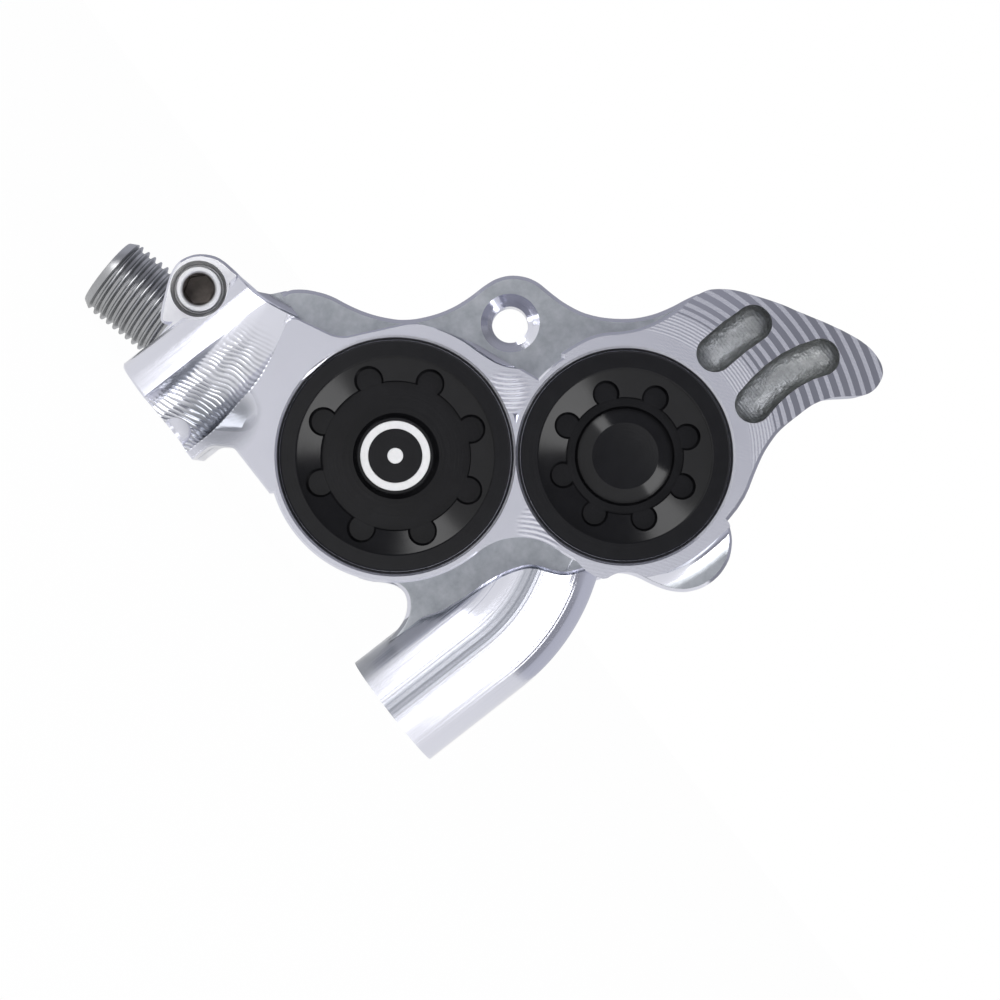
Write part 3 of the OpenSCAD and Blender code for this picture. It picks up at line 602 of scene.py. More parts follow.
    def line_noise(
        self, value: object, scale: float, detail: float = 6.0, roughness: float = 0.65,
    ) -> Socket:
        """Noise between 0 and 1 along one number."""
        inputs = {"W": value, "Scale": scale, "Detail": detail}
        made = self.node("ShaderNodeTexNoise", inputs, noise_dimensions="1D")
        made.inputs["Roughness"].default_value = roughness
        return made.outputs["Fac"]

    def rings(self, value: object, pitch: float) -> Socket:
        """Wave between 0 and 1 with a pitch."""
        turned = self.math("MULTIPLY", value, 2 * pi / pitch)
        return self.math("MULTIPLY_ADD", self.math("SINE", turned), 0.5, 0.5)

    def mix(self, factor: object, a: object, b: object) -> Socket:
        """Mix of two numbers."""
        return self.node("ShaderNodeMix", {"Factor": factor, 2: a, 3: b}, data_type="FLOAT").outputs[0]

    def mix_colour(self, factor: object, a: object, b: object) -> Socket:
        """Mix of two colours."""
        return self.node("ShaderNodeMix", {"Factor": factor, 6: a, 7: b}, data_type="RGBA").outputs[2]

    def bump(self, height: object, depth_mm: float) -> Socket:
        """Normal of a relief, where a height of 1 stands for a depth in millimetres."""
        made = self.node("ShaderNodeBump", {"Height": height, "Distance": depth_mm * MM, "Strength": 1.0})
        return made.outputs["Normal"]

    def finish(self, **sockets: object) -> bpy.types.Material:
        """Feeds the shader's sockets by name, with underscores for spaces, and returns the material."""
        for key, value in sockets.items():
            self.feed(self.shader.inputs[key.replace("_", " ")], value)
        return self.owner

    def overlay(self, share: object, other: bpy.types.Node) -> None:
        """Lays another shader over the graph's own by a share."""
        inputs = {0: share, 1: self.shader.outputs[0], 2: other.outputs[0]}
        self.feed(self.output.inputs["Surface"], self.node("ShaderNodeMixShader", inputs).outputs[0])


@dataclass(frozen=True)
class MilledAlloy:
    """Bare aluminium, cut by end mills and ball mills, with the marks of each cut in its own place.

    Attributes:
        face_y: Level just behind the front faces.
        foot_x: Right end of the left foot's marks.
        arm_x: Left end of the arm's marks.
        boss_x: Right end of the bleed screw's boss.
    """

    face_y: float = -5.56
    foot_x: float = -11.0
    arm_x: float = 11.2
    boss_x: float = -20.5

    def material(self) -> bpy.types.Material:
        """Builds the material of the caliper's body."""
        g = Graph("milled_alloy")
        x, y, z = g.axes(g.place)
        normal = g.node("ShaderNodeNewGeometry").outputs["Normal"]
        _, ny, nz = g.axes(normal)
        facing = g.step(g.both(ny, -1.0), 0.90, 0.985)
        front = g.both(facing, g.under(y, self.face_y))
        deep = g.both(facing, g.over(y, -3.0))
        on_left = g.both(g.under(x, self.foot_x), g.under(z, 13.0))
        scoop = g.cut_by(MILLS.scoop, MILLS.scoop_r)
        flare = g.cut_by(MILLS.flare, MILLS.flare_r)
        slot = g.math("MAXIMUM", *[g.cut_by(path, MILLS.slot_r) for path in MILLS.slots])

        # Streaks that the mill leaves along the arm and the left foot
        up = g.math("MAXIMUM", g.math("SUBTRACT", z, PLACE.arm_bend[1]), 0.0)
        aside = g.math("SUBTRACT", x, PLACE.arm_bend[0])
        lean = g.node("ShaderNodeCombineXYZ", {0: aside, 1: 0.0, 2: up}).outputs[0]
        across = g.total(g.vector("LENGTH", lean), PLACE.arm_bend[0])
        on_arm = g.over(x, self.arm_x)
        streak_at = g.mix(on_arm, x, across)
        wide = g.line_noise(streak_at, 0.9, 2.0, 0.5)
        narrow = g.line_noise(streak_at, 3.2, 4.0, 0.6)
        streaks = g.total(g.both(wide, 0.075), g.both(narrow, 0.034))
        on_foot = g.both(g.under(x, self.foot_x), g.rest(g.step(z, 14.0, 16.0)))
        arm_low = g.both(on_arm, g.rest(g.step(z, 19.0, 22.0)))
        upright = g.rest(g.step(g.math("ABSOLUTE", nz), 0.3, 0.6))
        raised = g.both(g.over(y, self.face_y), g.rest(deep))
        streak_share = g.both(g.math("MAXIMUM", on_foot, arm_low), upright, raised)

        # Arcs that the flying cutter leaves on flat faces
        arcs = g.both(g.rings(g.radius_about((60.0, -25.0)), 0.31), g.noise(0.35, 2.0), facing)
        # Fine steps above the small bore, before the terraces of the fin start
        ring = g.radius_about(PLACE.bore_s)
        fine = g.both(g.step(ring, 11.0, 11.4), g.rest(g.step(ring, 13.2, 13.5)), g.step(z, 38.0, 39.5))
        # Shallow ribs on both saddles between the bores
        low_ribs = g.both(self._near(g, (12.2, 20.9), 2.6), g.rings(g.radius_about((16.14, 15.09)), 0.42))
        top_ribs = g.both(self._near(g, (0.9, 25.6), 2.2), g.rings(g.radius_about(PLACE.pin), 0.42))
        ribs = g.both(g.total(low_ribs, top_ribs), front)
        # Cusps of the ball mill in the scoop of the left foot
        cusp_at = g.total(g.both(x, -0.40), g.both(z, 0.92))
        wobble = g.both(g.noise(0.35, 1.0), 1.2)
        cusps = g.rings(g.total(cusp_at, wobble), 0.42)
        cusp_share = g.both(scoop, g.step(x, -18.6, -16.6), g.rest(g.step(z, 8.5, 13.0)))
        faint_cusps = g.both(flare, g.rest(g.step(x, -13.8, -12.5)), 0.4)
        downhill = g.math("MULTIPLY_ADD", z, -0.6157, g.both(x, 0.788))
        heel_end = g.step(g.radius_about((-13.4, 4.4)), 2.0, 4.2)
        shade = g.both(g.step(downhill, -16.8, -13.4), g.rest(heel_end), g.under(y, PLACE.front_half))
        milled = g.math("MAXIMUM", scoop, flare)
        marks = g.both(slot, g.total(g.noise(1.9, 4.0, 0.65), g.both(g.rings(z, 0.27), 0.08)))

        height = g.total(
            g.both(arcs, 0.0012),
            g.both(g.rings(ring, 0.29), fine, front, 0.006),
            g.both(ribs, 0.022),
            g.both(cusps, g.math("MAXIMUM", cusp_share, faint_cusps), 0.036),
            g.both(marks, 0.16),
            g.both(streaks, streak_share, g.rest(milled)),
            g.both(g.noise(5.0, 4.0, 0.6), 0.0016),
        )
        relief = g.bump(height, 1.0)

        # Painted highlight: the bleed boss's face is near-white and not metallic, with a matt finish, so it
        # stays bright like a blown-out highlight
        matt_highlight = g.both(g.under(x, self.boss_x), facing, g.over(y, -1.0))
        # Sunk ledge faces: a rougher finish, and painted shade that makes them darker grey than the front
        # faces
        on_ledge = g.math("MAXIMUM", g.over(y, -0.5), g.under(z, 25.0))
        sunk = g.both(deep, g.rest(g.math("MAXIMUM", matt_highlight, on_left)), on_ledge)
        # Painted shade in a ring round the mouth of the bleed port
        rim = g.both(g.under(g.radius_about(PLACE.bleed), 2.57), g.over(y, 0.46), g.under(y, 1.3))
        # Painted highlights and painted shade in bands that follow the cusps in the scoop
        broken = g.both(cusp_share, g.math("MULTIPLY_ADD", g.noise(1.1, 3.0), 0.9, 0.1), 0.9)
        shaded = g.both(shade, g.math("MAXIMUM", milled, 0.75), 0.8)
        # Painted shade on the arm's crest and on its flank towards the lobe
        in_front = g.both(arm_low, raised, g.under(y, PLACE.front_half))
        crest = g.rest(g.step(g.math("ABSOLUTE", g.math("SUBTRACT", across, 16.7)), 0.3, 1.2))
        crest = g.both(crest, in_front, g.math("MULTIPLY_ADD", narrow, 1.1, 0.1, True))
        flank = g.both(g.rest(g.step(across, 12.6, 14.2)), in_front, 0.85)

        cloud = g.noise(0.16, 3.0)
        base = g.mix_colour(cloud, (0.74, 0.745, 0.81), (0.82, 0.825, 0.89))
        ledge_cloud, slot_cloud = g.noise(0.6, 5.0, 0.7), g.noise(1.1, 5.0, 0.7)
        for share, tone in (
            (sunk, g.mix_colour(ledge_cloud, (0.22, 0.24, 0.265), (0.62, 0.64, 0.67))),
            # Slots: mottled tool marks, and painted shade that makes their insides darker than the faces
            (slot, g.mix_colour(slot_cloud, (0.16, 0.17, 0.165), (0.66, 0.67, 0.66))),
            (broken, g.mix_colour(cusps, (0.20, 0.215, 0.24), (0.86, 0.87, 0.89))),
            (shaded, (0.20, 0.215, 0.24)),
            (crest, (0.34, 0.36, 0.40)),
            (flank, (0.27, 0.285, 0.31)),
            (matt_highlight, (0.96, 0.96, 0.965)),
            (rim, (0.46, 0.46, 0.46)),
        ):
            base = g.mix_colour(share, base, tone)
        rough = g.mix(cloud, 0.11, 0.16)
        for share, roughness in ((facing, 0.26), (sunk, 0.36), (slot, 0.36), (matt_highlight, 0.5)):
            rough = g.mix(share, rough, roughness)
        return g.finish(Base_Color=base, Metallic=g.rest(matt_highlight), Roughness=rough, Normal=relief)

    def _near(self, g: Graph, place: Point, reach: float) -> Socket:
        """Share that is 1 at a place in the rotor's plane and falls to 0 at its reach."""
        return g.rest(g.step(g.radius_about(place), reach * 0.5, reach))


@dataclass(frozen=True)
class BlackAnodised:
    """Glossy black anodised aluminium with faint rings of the lathe round its centre."""

    name: str
    centre: Point

    def material(self) -> bpy.types.Material:
        """Builds the material of one cap."""
        g = Graph(self.name)
        ring = g.radius_about(self.centre)
        lathe = g.line_noise(ring, 3.2, 7.0, 0.7)
        tone = g.mix_colour(g.noise(0.8, 3.0), (0.0035, 0.0035, 0.004), (0.008, 0.008, 0.009))
        rough = g.mix(g.noise(0.6, 4.0), 0.13, 0.20)
        dust = g.noise(14.0, 4.0, 0.7)
        height = g.total(lathe, g.both(dust, 0.10))
        return g.finish(Base_Color=tone, Roughness=rough, Normal=g.bump(height, 0.003), IOR=1.38)


@dataclass(frozen=True)
class TurnedMetal:
    """Metal with the rings of a lathe or the streaks of a draw, told by its colours and its grain."""

    name: str
    dark: Colour
    bright: Colour
    rough: Point
    centre: Optional[Point] = None
    ring_scale: float = 3.0
    depth: float = 0.006
    grain: float = 5.0

    def material(self) -> bpy.types.Material:
        """Builds the material."""
        g = Graph(self.name)
        cloud = g.noise(0.5, 4.0, 0.6)
        tone = g.mix_colour(cloud, self.dark, self.bright)
        fine = g.noise(self.grain, 5.0, 0.65)
        if self.centre is None:
            x, y, z = g.axes(g.place)
            drawn = {0: g.both(x, 0.15), 1: y, 2: g.both(z, 0.15)}
            stretched = g.node("ShaderNodeCombineXYZ", drawn)
            lines = g.noise(self.ring_scale, 5.0, 0.6, stretched.outputs[0])
        else:
            lines = g.line_noise(g.radius_about(self.centre), self.ring_scale, 7.0, 0.7)
        height = g.total(lines, g.both(fine, 0.25))
        rough = g.mix(fine, *self.rough)
        return g.finish(Base_Color=tone, Metallic=1.0, Roughness=rough, Normal=g.bump(height, self.depth))


@dataclass(frozen=True)
class SocketSteel:
    """Bright stainless steel of the bleed screw, with painted shade down in its socket."""

    def material(self) -> bpy.types.Material:
        """Builds the material of the bleed screw."""
        g = Graph("socket_steel")
        _, y, _ = g.axes(g.place)
        ring = g.radius_about(PLACE.bleed)
        inside = g.both(g.step(y, 0.63, 0.85), g.under(ring, 1.67))
        bright = g.mix_colour(g.noise(0.8, 4.0), (0.88, 0.88, 0.89), (0.97, 0.97, 0.97))
        # Painted shade: nearly black inside the socket, below its mouth
        socket_shade = g.mix_colour(g.noise(1.8, 4.0), (0.045, 0.038, 0.034), (0.12, 0.105, 0.095))
        height = g.total(g.line_noise(ring, 3.0), g.both(g.noise(6.0, 4.0), 0.25))
        return g.finish(
            Base_Color=g.mix_colour(inside, bright, socket_shade), Metallic=g.mix(inside, 0.55, 0.85),
            Roughness=g.mix(inside, 0.34, 0.38), Normal=g.bump(height, 0.003),
        )


@dataclass(frozen=True)
class WhiteFilling:
    """White enamel that fills the cut mark, a little sunk and dusty."""

    def material(self) -> bpy.types.Material:
        """Builds the material of the ring mark."""
        g = Graph("white_filling")
        tone = g.mix_colour(g.noise(2.5, 4.0), (0.70, 0.70, 0.69), (0.86, 0.86, 0.85))
        rough = g.mix(g.noise(6.0), 0.35, 0.55)
        return g.finish(Base_Color=tone, Roughness=rough, Normal=g.bump(g.noise(7.0, 4.0), 0.01))


@dataclass(frozen=True)
class SealRubber:
    """Matt black rubber with a faint bloom."""

    def material(self) -> bpy.types.Material:
        """Builds the material of the seals."""
        g = Graph("seal_rubber")
        tone = g.mix_colour(g.noise(1.8, 4.0), (0.011, 0.011, 0.012), (0.026, 0.026, 0.028))
        rough = g.mix(g.noise(8.0), 0.45, 0.65)
        return g.finish(Base_Color=tone, Roughness=rough, Normal=g.bump(g.noise(18.0, 3.0), 0.008))


@dataclass(frozen=True)
class FrictionBlock:
    """Sintered lining: dark matrix with copper and iron grains and small pores."""

    def material(self) -> bpy.types.Material:
        """Builds the material of the linings."""
        g = Graph("friction_block")
        grains = g.node("ShaderNodeTexVoronoi", {"Vector": g.place, "Scale": 2.4})
        share = g.axes(grains.outputs["Color"])
        cloud = g.noise(1.6, 5.0, 0.7)
        matrix = g.mix_colour(cloud, (0.045, 0.040, 0.036), (0.105, 0.092, 0.080))
        copper = g.over(share[0], 0.80)
        iron = g.over(share[1], 0.86)
        tone = g.mix_colour(copper, matrix, (0.42, 0.20, 0.10))
        tone = g.mix_colour(iron, tone, (0.26, 0.26, 0.27))
        metal = g.math("MAXIMUM", copper, iron)
        pores = g.step(g.noise(5.0, 4.0, 0.7), 0.36, 0.46)
        height = g.total(g.both(pores, 0.8), g.both(g.noise(12.0, 4.0), 0.4))
        return g.finish(
            Base_Color=tone, Metallic=g.both(metal, 0.85),
            Roughness=g.mix(metal, 0.82, 0.45), Normal=g.bump(height, 0.05),
        )


@dataclass(frozen=True)
class BlackenedPlate:
    """Stamped steel plate under a thin dark coat, worn bright in small scratches."""

    def material(self) -> bpy.types.Material:
        """Builds the material of the backing plates."""
        g = Graph("blackened_plate")
        _, y, _ = g.axes(g.place)
        wear = g.step(g.noise(3.0, 6.0, 0.72), 0.62, 0.74)
        tone = g.mix_colour(g.noise(0.7, 4.0), (0.045, 0.047, 0.052), (0.085, 0.088, 0.095))
        tone = g.mix_colour(wear, tone, (0.30, 0.30, 0.31))
        height = g.total(g.noise(6.0, 5.0, 0.7), g.both(g.line_noise(y, 4.0), 0.5))
        return g.finish(
            Base_Color=tone, Metallic=0.8, Roughness=g.mix(wear, 0.48, 0.30), Normal=g.bump(height, 0.015),
        )


@dataclass
class Finishes:
    """The materials of the caliper, each built once."""

    made: dict[str, bpy.types.Material] = field(default_factory=dict)

    def __post_init__(self) -> None:
        """Builds every material."""
        turned = (0.62, 0.61, 0.58), (0.74, 0.73, 0.70), (0.24, 0.34)
        kinds = {
            "body": MilledAlloy(),
            "cap_large": BlackAnodised("black_anodised_large", PLACE.bore_l),
            "cap_small": BlackAnodised("black_anodised_small", PLACE.bore_s),
            "mark": WhiteFilling(),
            "seal": SealRubber(),
            "lining": FrictionBlock(),
            "plate": BlackenedPlate(),
            "piston_large": TurnedMetal("piston_large", *turned, PLACE.bore_l, 4.0),
            "piston_small": TurnedMetal("piston_small", *turned, PLACE.bore_s, 4.0),
            "bleed_screw": SocketSteel(),
            "stud": TurnedMetal(
                "grey_steel", (0.36, 0.365, 0.37), (0.54, 0.545, 0.55), (0.24, 0.36), ring_scale=2.0,
            ),
            "spring": TurnedMetal("spring_steel", (0.50, 0.51, 0.53), (0.66, 0.67, 0.69), (0.18, 0.30)),
            "plug": TurnedMetal("plug_steel", (0.48, 0.49, 0.51), (0.62, 0.63, 0.65), (0.22, 0.34)),
        }
        self.made = {name: kind.material() for name, kind in kinds.items()}

    def dress(self, thing: bpy.types.Object, finish: str) -> None:
        """Gives an object one finish in its only material slot."""
        thing.data.materials.clear()
        thing.data.materials.append(self.made[finish])


def settle(thing: bpy.types.Object, body: str, slot: str, *nodes: str) -> None:
    """Makes a piece ride on its body and stand for CAD nodes, which it hides.

    Args:
        thing: The piece.
        body: Name of the body that it moves with.
        slot: Name of a material slot. It is not used.
        nodes: CAD nodes that it stands for.
    """
    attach(thing, body)
    if nodes:
        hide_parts(*nodes)
    log.info("%s: %d faces, on %s", thing.name, len(thing.data.polygons), body)


@dataclass
class Body:
    """The one-piece body: lobes, faces, ledges, fin, feet and bridges, with all its bores.

    Attributes:
        left_face: Front face from the left boss up to the large lobe.
        fin_face: Outline of the fin above the small bore.
        web_floor: Floor of the recess over the right boss.
        ledge: Outline of the lower step behind the left face and the fin.
        back_heel: Start of the step's back half beside the left foot.
        upper_cut: Space in front of the step.
        recess_cut: Space in front of the recess, where the arm is cut away.
        lug: Outline of the lug beside the small bore.
        lug_cut: Space in front of the lug.
        bleed_boss: Outline of the bleed screw's boss, from the screw's axis.
        stair: Radii at which the fin's terraces start and end.
    """

    finishes: Finishes
    lobe_large: float = 11.25
    lobe_small: float = 10.3
    waist: float = 5.7
    edge: Rim = Rim(0.18)
    back_edge: Rim = Rim(0.5)
    back_chamfer: float = 2.0
    groove: float = 1.1
    left_face: tuple[Corner, ...] = (
        (-16.1, 0.03, 0), (-16.1, 14.95, 0.8), (-12.1, 16.9, 2.6), (-8.9, 23.6, 4.9), (-4.1, 26.4, 4.9),
        (4.0, 29.5, 0), (0.0, 14.4, 0), (-5.0, 3.58, 0), (-10.2, 3.58, 0.8), (-11.6, 2.1, 1.2),
        (-11.6, 0.03, 0),
    )
    fin_face: tuple[Point, ...] = (
        (1.0, 30.5), (1.1, 32.8), (1.6, 35.2), (3.05, 37.2), (3.95, 39.3), (4.3, 41.6), (4.4, 43.6),
        (4.5, 44.8), (4.85, 45.75), (6.1, 47.25), (7.7, 48.4), (9.6, 49.75), (11.2, 50.6), (14.1, 52.35),
        (16.9, 53.65), (18.5, 53.85), (19.9, 53.6), (20.65, 52.75), (20.95, 51.15), (20.1, 49.8),
        (19.05, 48.4), (18.4, 46.6), (18.35, 44.8), (18.35, 42.8), (18.65, 41.5), (19.35, 39.6),
        (21.9, 35.5), (22.0, 30.5),
    )
    web_floor: tuple[Point, ...] = (
        (2.0, 12.0), (5.0, 4.6), (6.5, 5.5), (7.6, 6.75), (8.6, 7.4), (9.5, 7.45), (10.4, 6.95),
        (11.1, 6.1), (11.5, 5.0), (11.75, 3.4), (15.0, 3.4), (16.5, 12.0), (18.0, 20.6), (11.76, 27.0),
        (0.0, 16.0),
    )
    ledge: tuple[Point, ...] = (
        (-16.6, 6.1), (-17.6, 11.0), (-18.6, 14.5), (-18.75, 15.75), (-18.0, 16.9), (-17.1, 17.75),
        (-15.9, 18.65), (-14.2, 19.35), (-12.5, 20.3), (-11.0, 21.5), (-10.0, 22.55), (-9.1, 24.1),
        (-8.35, 26.1), (-8.05, 28.2), (-8.1, 30.2), (-7.85, 31.7), (-7.0, 33.05), (-5.6, 34.05),
        (-4.0, 34.35), (-2.0, 34.9), (0.0, 35.95), (2.0, 38.0), (3.15, 39.9), (3.8, 41.9), (4.1, 43.9),
        (4.55, 45.4), (7.0, 46.6), (11.76, 30.5), (-0.8, 14.4), (-4.7, 5.1),
    )
    back_heel: tuple[Point, ...] = (
        (-16.96, 6.12), (-18.0, 9.95), (-18.85, 13.1), (-19.0, 14.1), (-18.75, 15.3),
    )
    upper_cut: tuple[Point, ...] = (
        (-24.0, 13.0), (-20.5, 13.21), (-18.73, 13.7), (-17.55, 14.19), (-16.08, 14.88), (-14.6, 15.66),
        (-13.62, 16.16), (-12.64, 16.74), (-11.85, 17.63), (-11.26, 18.61), (-10.67, 19.99),
        (-10.28, 21.27), (-9.59, 22.44), (-8.71, 23.33), (-5.76, 25.2), (-2.81, 25.98), (-0.85, 26.87),
        (0.43, 28.44), (1.02, 30.31), (1.12, 32.76), (1.61, 35.22), (3.09, 37.19), (3.97, 39.25),
        (4.0, 42.0), (3.6, 47.0), (-4.0, 47.0), (-14.0, 38.0), (-20.0, 26.0), (-24.0, 20.0),
    )
    recess_cut: tuple[Point, ...] = (
        (7.0, 2.5), (10.6, 3.4), (11.4, 4.6), (11.75, 5.7), (12.05, 6.7), (12.4, 7.8), (12.85, 9.0),
        (13.05, 10.5), (13.2, 12.5), (13.4, 15.0), (13.95, 16.9), (14.6, 18.0), (15.7, 18.7),
        (16.6, 19.4), (17.2, 20.2), (18.0, 22.5), (18.0, 26.0), (7.0, 26.0),
    )
    lug: tuple[Point, ...] = (
        (21.3, 34.6), (23.2, 33.95), (24.35, 33.05), (25.2, 31.9), (25.68, 30.0), (25.3, 28.0),
        (24.1, 26.4), (22.4, 25.35), (20.9, 24.7), (19.75, 23.75), (19.2, 22.6), (19.2, 21.8),
        (18.6, 21.25), (17.0, 20.6), (14.0, 20.6), (11.0, 30.5),
    )
    lug_cut: tuple[Point, ...] = (
        (20.3, 40.5), (21.6, 37.8), (22.25, 35.4), (22.5, 33.0), (22.62, 30.5), (22.45, 28.2),
        (21.8, 26.0), (20.8, 24.3), (20.9, 22.6), (24.0, 20.0), (29.0, 26.0), (29.0, 36.0), (24.0, 41.0),
    )

    bleed_boss: tuple[Point, ...] = (
        (0.45, -4.6), (-0.3, -4.2), (-1.6, -2.6), (-3.0, -0.7), (-3.05, 0.9), (-2.2, 2.45), (-0.6, 3.5),
        (2.2, 3.58), (4.6, 3.58), (6.0, 0.4), (6.0, -3.0), (2.9, -0.2), (2.0, -2.6), (1.15, -3.8),
    )
    bleed_top: float = 3.58
    stud_boss_r: float = 4.8
    stair: Point = (13.45, 25.5)
    tread: float = 0.37
    passage: float = 1.0

    def build(self) -> None:
        """Joins the outer shape, cuts it out and dresses it."""
        outer = self._outside()
        carved = self._carve(outer)
        whole = self._bores(carved)
        thing = whole.piece("machined_body")
        self.finishes.dress(thing, "body")
        settle(thing, "caliper", "body", "caliper_body")

    def _lobe(self, place: Point, radius: float) -> Shape:
        """One lobe over the body's whole width, with its back chamfer.

        Args:
            place: Axis of its bores.
            radius: Radius of the lobe.

        Returns:
            The lobe.
        """
        depth = PLACE.rotor_y - PLACE.outer_y
        far = PLACE.back_y - PLACE.rotor_y
        edge = self.edge.width
        return Shape.lathe([
            (0, -far), (radius - self.back_chamfer, -far), (radius, self.back_chamfer - far),
            (radius, depth - edge), (radius - edge, depth), (0, depth),
        ], 192).outward(place, Side.OUT)

    def _waist(self) -> tuple[Shape, Shape]:
        """Web that joins the lobes on the rotor's side, and the round cut of its fillet."""
        reach_l = self.lobe_large + self.waist
        reach_s = self.lobe_small + self.waist
        spacing = PLACE.bore_spacing
        t = (reach_l ** 2 - reach_s ** 2 + spacing ** 2) / (2 * spacing)
        centre = PLACE.on_bores(t, -sqrt(reach_l ** 2 - t ** 2), PLACE.bore_l)
        corners = [(*PLACE.bore_l, 0.0), (*PLACE.bore_s, 0.0), (*centre, 0.0)]
        web = Shape.slab(corners, PLACE.outer_y, PLACE.back_y - self.back_chamfer)
        return web, Shape.rod_y(centre, self.waist, PLACE.outer_y - 1, PLACE.back_y, 96)

    def _arm(self) -> Shape:
        """Right mounting boss, whose tube bends over to the small bore."""
        shape = Shape()
        bm = shape.bm
        bmesh.ops.create_circle(bm, cap_ends=True, radius=PLACE.foot_radius, segments=160)
        bmesh.ops.translate(bm, verts=bm.verts[:], vec=(PLACE.foot_r, 0, 0))
        bend_x, bend_z = PLACE.arm_bend
        top = shape.pull(bm.faces[:], (0, 0, bend_z))
        bent = bmesh.ops.spin(
            bm, geom=top, cent=(bend_x, 0, bend_z), axis=(0, -1, 0), angle=radians(PLACE.arm_lean), steps=16,
        )
        shape.pull([f for f in bent["geom_last"] if isinstance(f, BMFace)], (-1.6, 0, 2.5), keep=False)
        inner = [f for f in bm.faces if len(f.verts) > 8 and 0.01 < f.calc_center_median().z < 19.5]
        bmesh.ops.delete(bm, geom=inner, context="FACES_ONLY")
        return shape.face_out()

    def _left_bridge(self) -> list[Shape]:
        """Bridge over the rotor at the left, the bleed screw's boss and the stud's socket."""
        (sx, sz), (bx, bz) = PLACE.stud, PLACE.bleed
        tilt = radians(PLACE.stud_tilt)
        reach = self.stud_boss_r
        up_x, up_z = -sin(tilt) * reach, cos(tilt) * reach
        bridge = Shape.slab([
            (sx - up_x, sz - up_z, 0), (sx + up_x, sz + up_z, 0), (bx, bz + self.bleed_top, 1.3),
            (-21.3, 13.25, 3.0), (-20.1, 13.75, 1.0), (-19.35, 14.45, 1.0), (-18.7, 15.8, 0.5),
            (-17.0, 16.3, 0), (-17.0, 2.9, 0),
        ], PLACE.bleed_y, 25.0, self.edge, self.back_edge)
        boss = Shape.soft_slab(
            [(bx + x, bz + z) for x, z in self.bleed_boss], PLACE.bleed_y, 8.1, Rim(0.25),
        )
        shoulder = PLACE.stud_shoulder
        socket = Shape.rod(shoulder - PLACE.stud_axis * 7.2, shoulder, reach, 96)
        return [bridge, boss, socket]

    def _outside(self) -> Shape:
        """The body's outer form before anything is carved out of it."""
        outer, ledge_y, pocket = PLACE.outer_y, PLACE.ledge_y, PLACE.rotor_y - PLACE.pocket_half
        front = self.edge
        web, waist_cut = self._waist()
        web = web.cut(waist_cut)
        r = PLACE.foot_radius
        foot = Shape.lathe([(0, 0), (r - 0.2, 0), (r, 0.2), (r, 15.2), (0, 15.2)], 160)
        foot.move(Matrix.Translation((PLACE.foot_l, 0, 0)))
        shoulder = [
            (-24.0, 13.18, 0), (-21.3, 13.22, 0), (-20.1, 13.74, 0), (-19.3, 14.44, 0), (-18.6, 15.8, 0),
            (-24.0, 15.8, 0),
        ]
        foot = foot.cut(Shape.slab(shoulder, outer - 1, PLACE.front_half))
        arm_cut = Shape.soft_slab(self.recess_cut, outer - 2, PLACE.recess_y + 0.03, SHARP, Rim(0.45, 4))
        upper_bridge = Shape.slab([
            (1.0, 30.5, 0), (4.2, 38.9, 4.0), (4.2, 45.1, 3.3), (9.3, 49.7, 8.0), (14.2, 50.9, 2.5),
            (18.7, 42.5, 5.0), (21.6, 34.0, 0),
        ], pocket, PLACE.back_ledge_y, SHARP, self.back_edge)
        lug_core = [(x * 0.93 + 1.48, z * 0.93 + 2.13) for x, z in self.lug]
        back_ledge = self.back_heel + self.ledge[4:]
        plug_boss = Shape.lathe([(0, 5.7), (2.3, 5.7), (2.3, 13.75), (2.05, 14.0), (0, 14.0)], 64)
        return self._lobe(PLACE.bore_l, self.lobe_large).add(
            self._lobe(PLACE.bore_s, self.lobe_small),
            web,
            Shape.slab(self.left_face, outer, pocket, front),
            Shape.soft_slab(self.fin_face, outer, 6.9, Rim(0.3), Rim(0.4)).cut(self._terraces()),
            Shape.soft_slab(self.ledge, ledge_y - 0.02, pocket + 1.0, Rim(0.35)),
            Shape.soft_slab(back_ledge, pocket + 1.0, PLACE.back_ledge_y, SHARP, self.back_edge),
            plug_boss.outward(PLACE.plug, Side.BACK),
            Shape.soft_slab(lug_core, outer, pocket),
            Shape.soft_slab(self.lug, ledge_y - 0.02, pocket, Rim(0.3)),
            upper_bridge,
            foot,
            self._arm().cut(arm_cut),
            *self._left_bridge(),
            Shape.soft_slab(self.web_floor, PLACE.recess_y, pocket, Rim(0.5, 5)),
        )

    def _mill(self, path: Path, radius: float) -> Shape:
        """Space that a ball mill sweeps along a path.

        Args:
            path: Places of the mill's centre.
            radius: Radius of the mill.

        Returns:
            The space.
        """
        swept = Shape.ball(path[0], radius)
        parts: list[Shape] = []
        for start, end in zip(path, path[1:]):
            parts += [Shape.rod(start, end, radius, 48), Shape.ball(end, radius * 0.997)]
        return swept.add(*parts)

    def _terraces(self) -> Shape:
        """Space in front of the fin's terraces, which fall away from the small bore."""
        top = PLACE.rotor_y - PLACE.outer_y
        r, last = self.stair
        profile: list[Point] = [(r, top + 2.0), (r, top)]
        level = top
        drop = 0.06
        while r < last:
            run = min(0.6, drop * 1.75 + 0.05)
            profile += [(r + run, level - drop), (r + run + self.tread, level - drop)]
            r += run + self.tread
            level -= drop
            drop = min(0.33, drop + 0.09)
        profile.append((r, top + 2.0))
        return Shape.lathe(profile, 160).outward(PLACE.bore_s, Side.OUT)

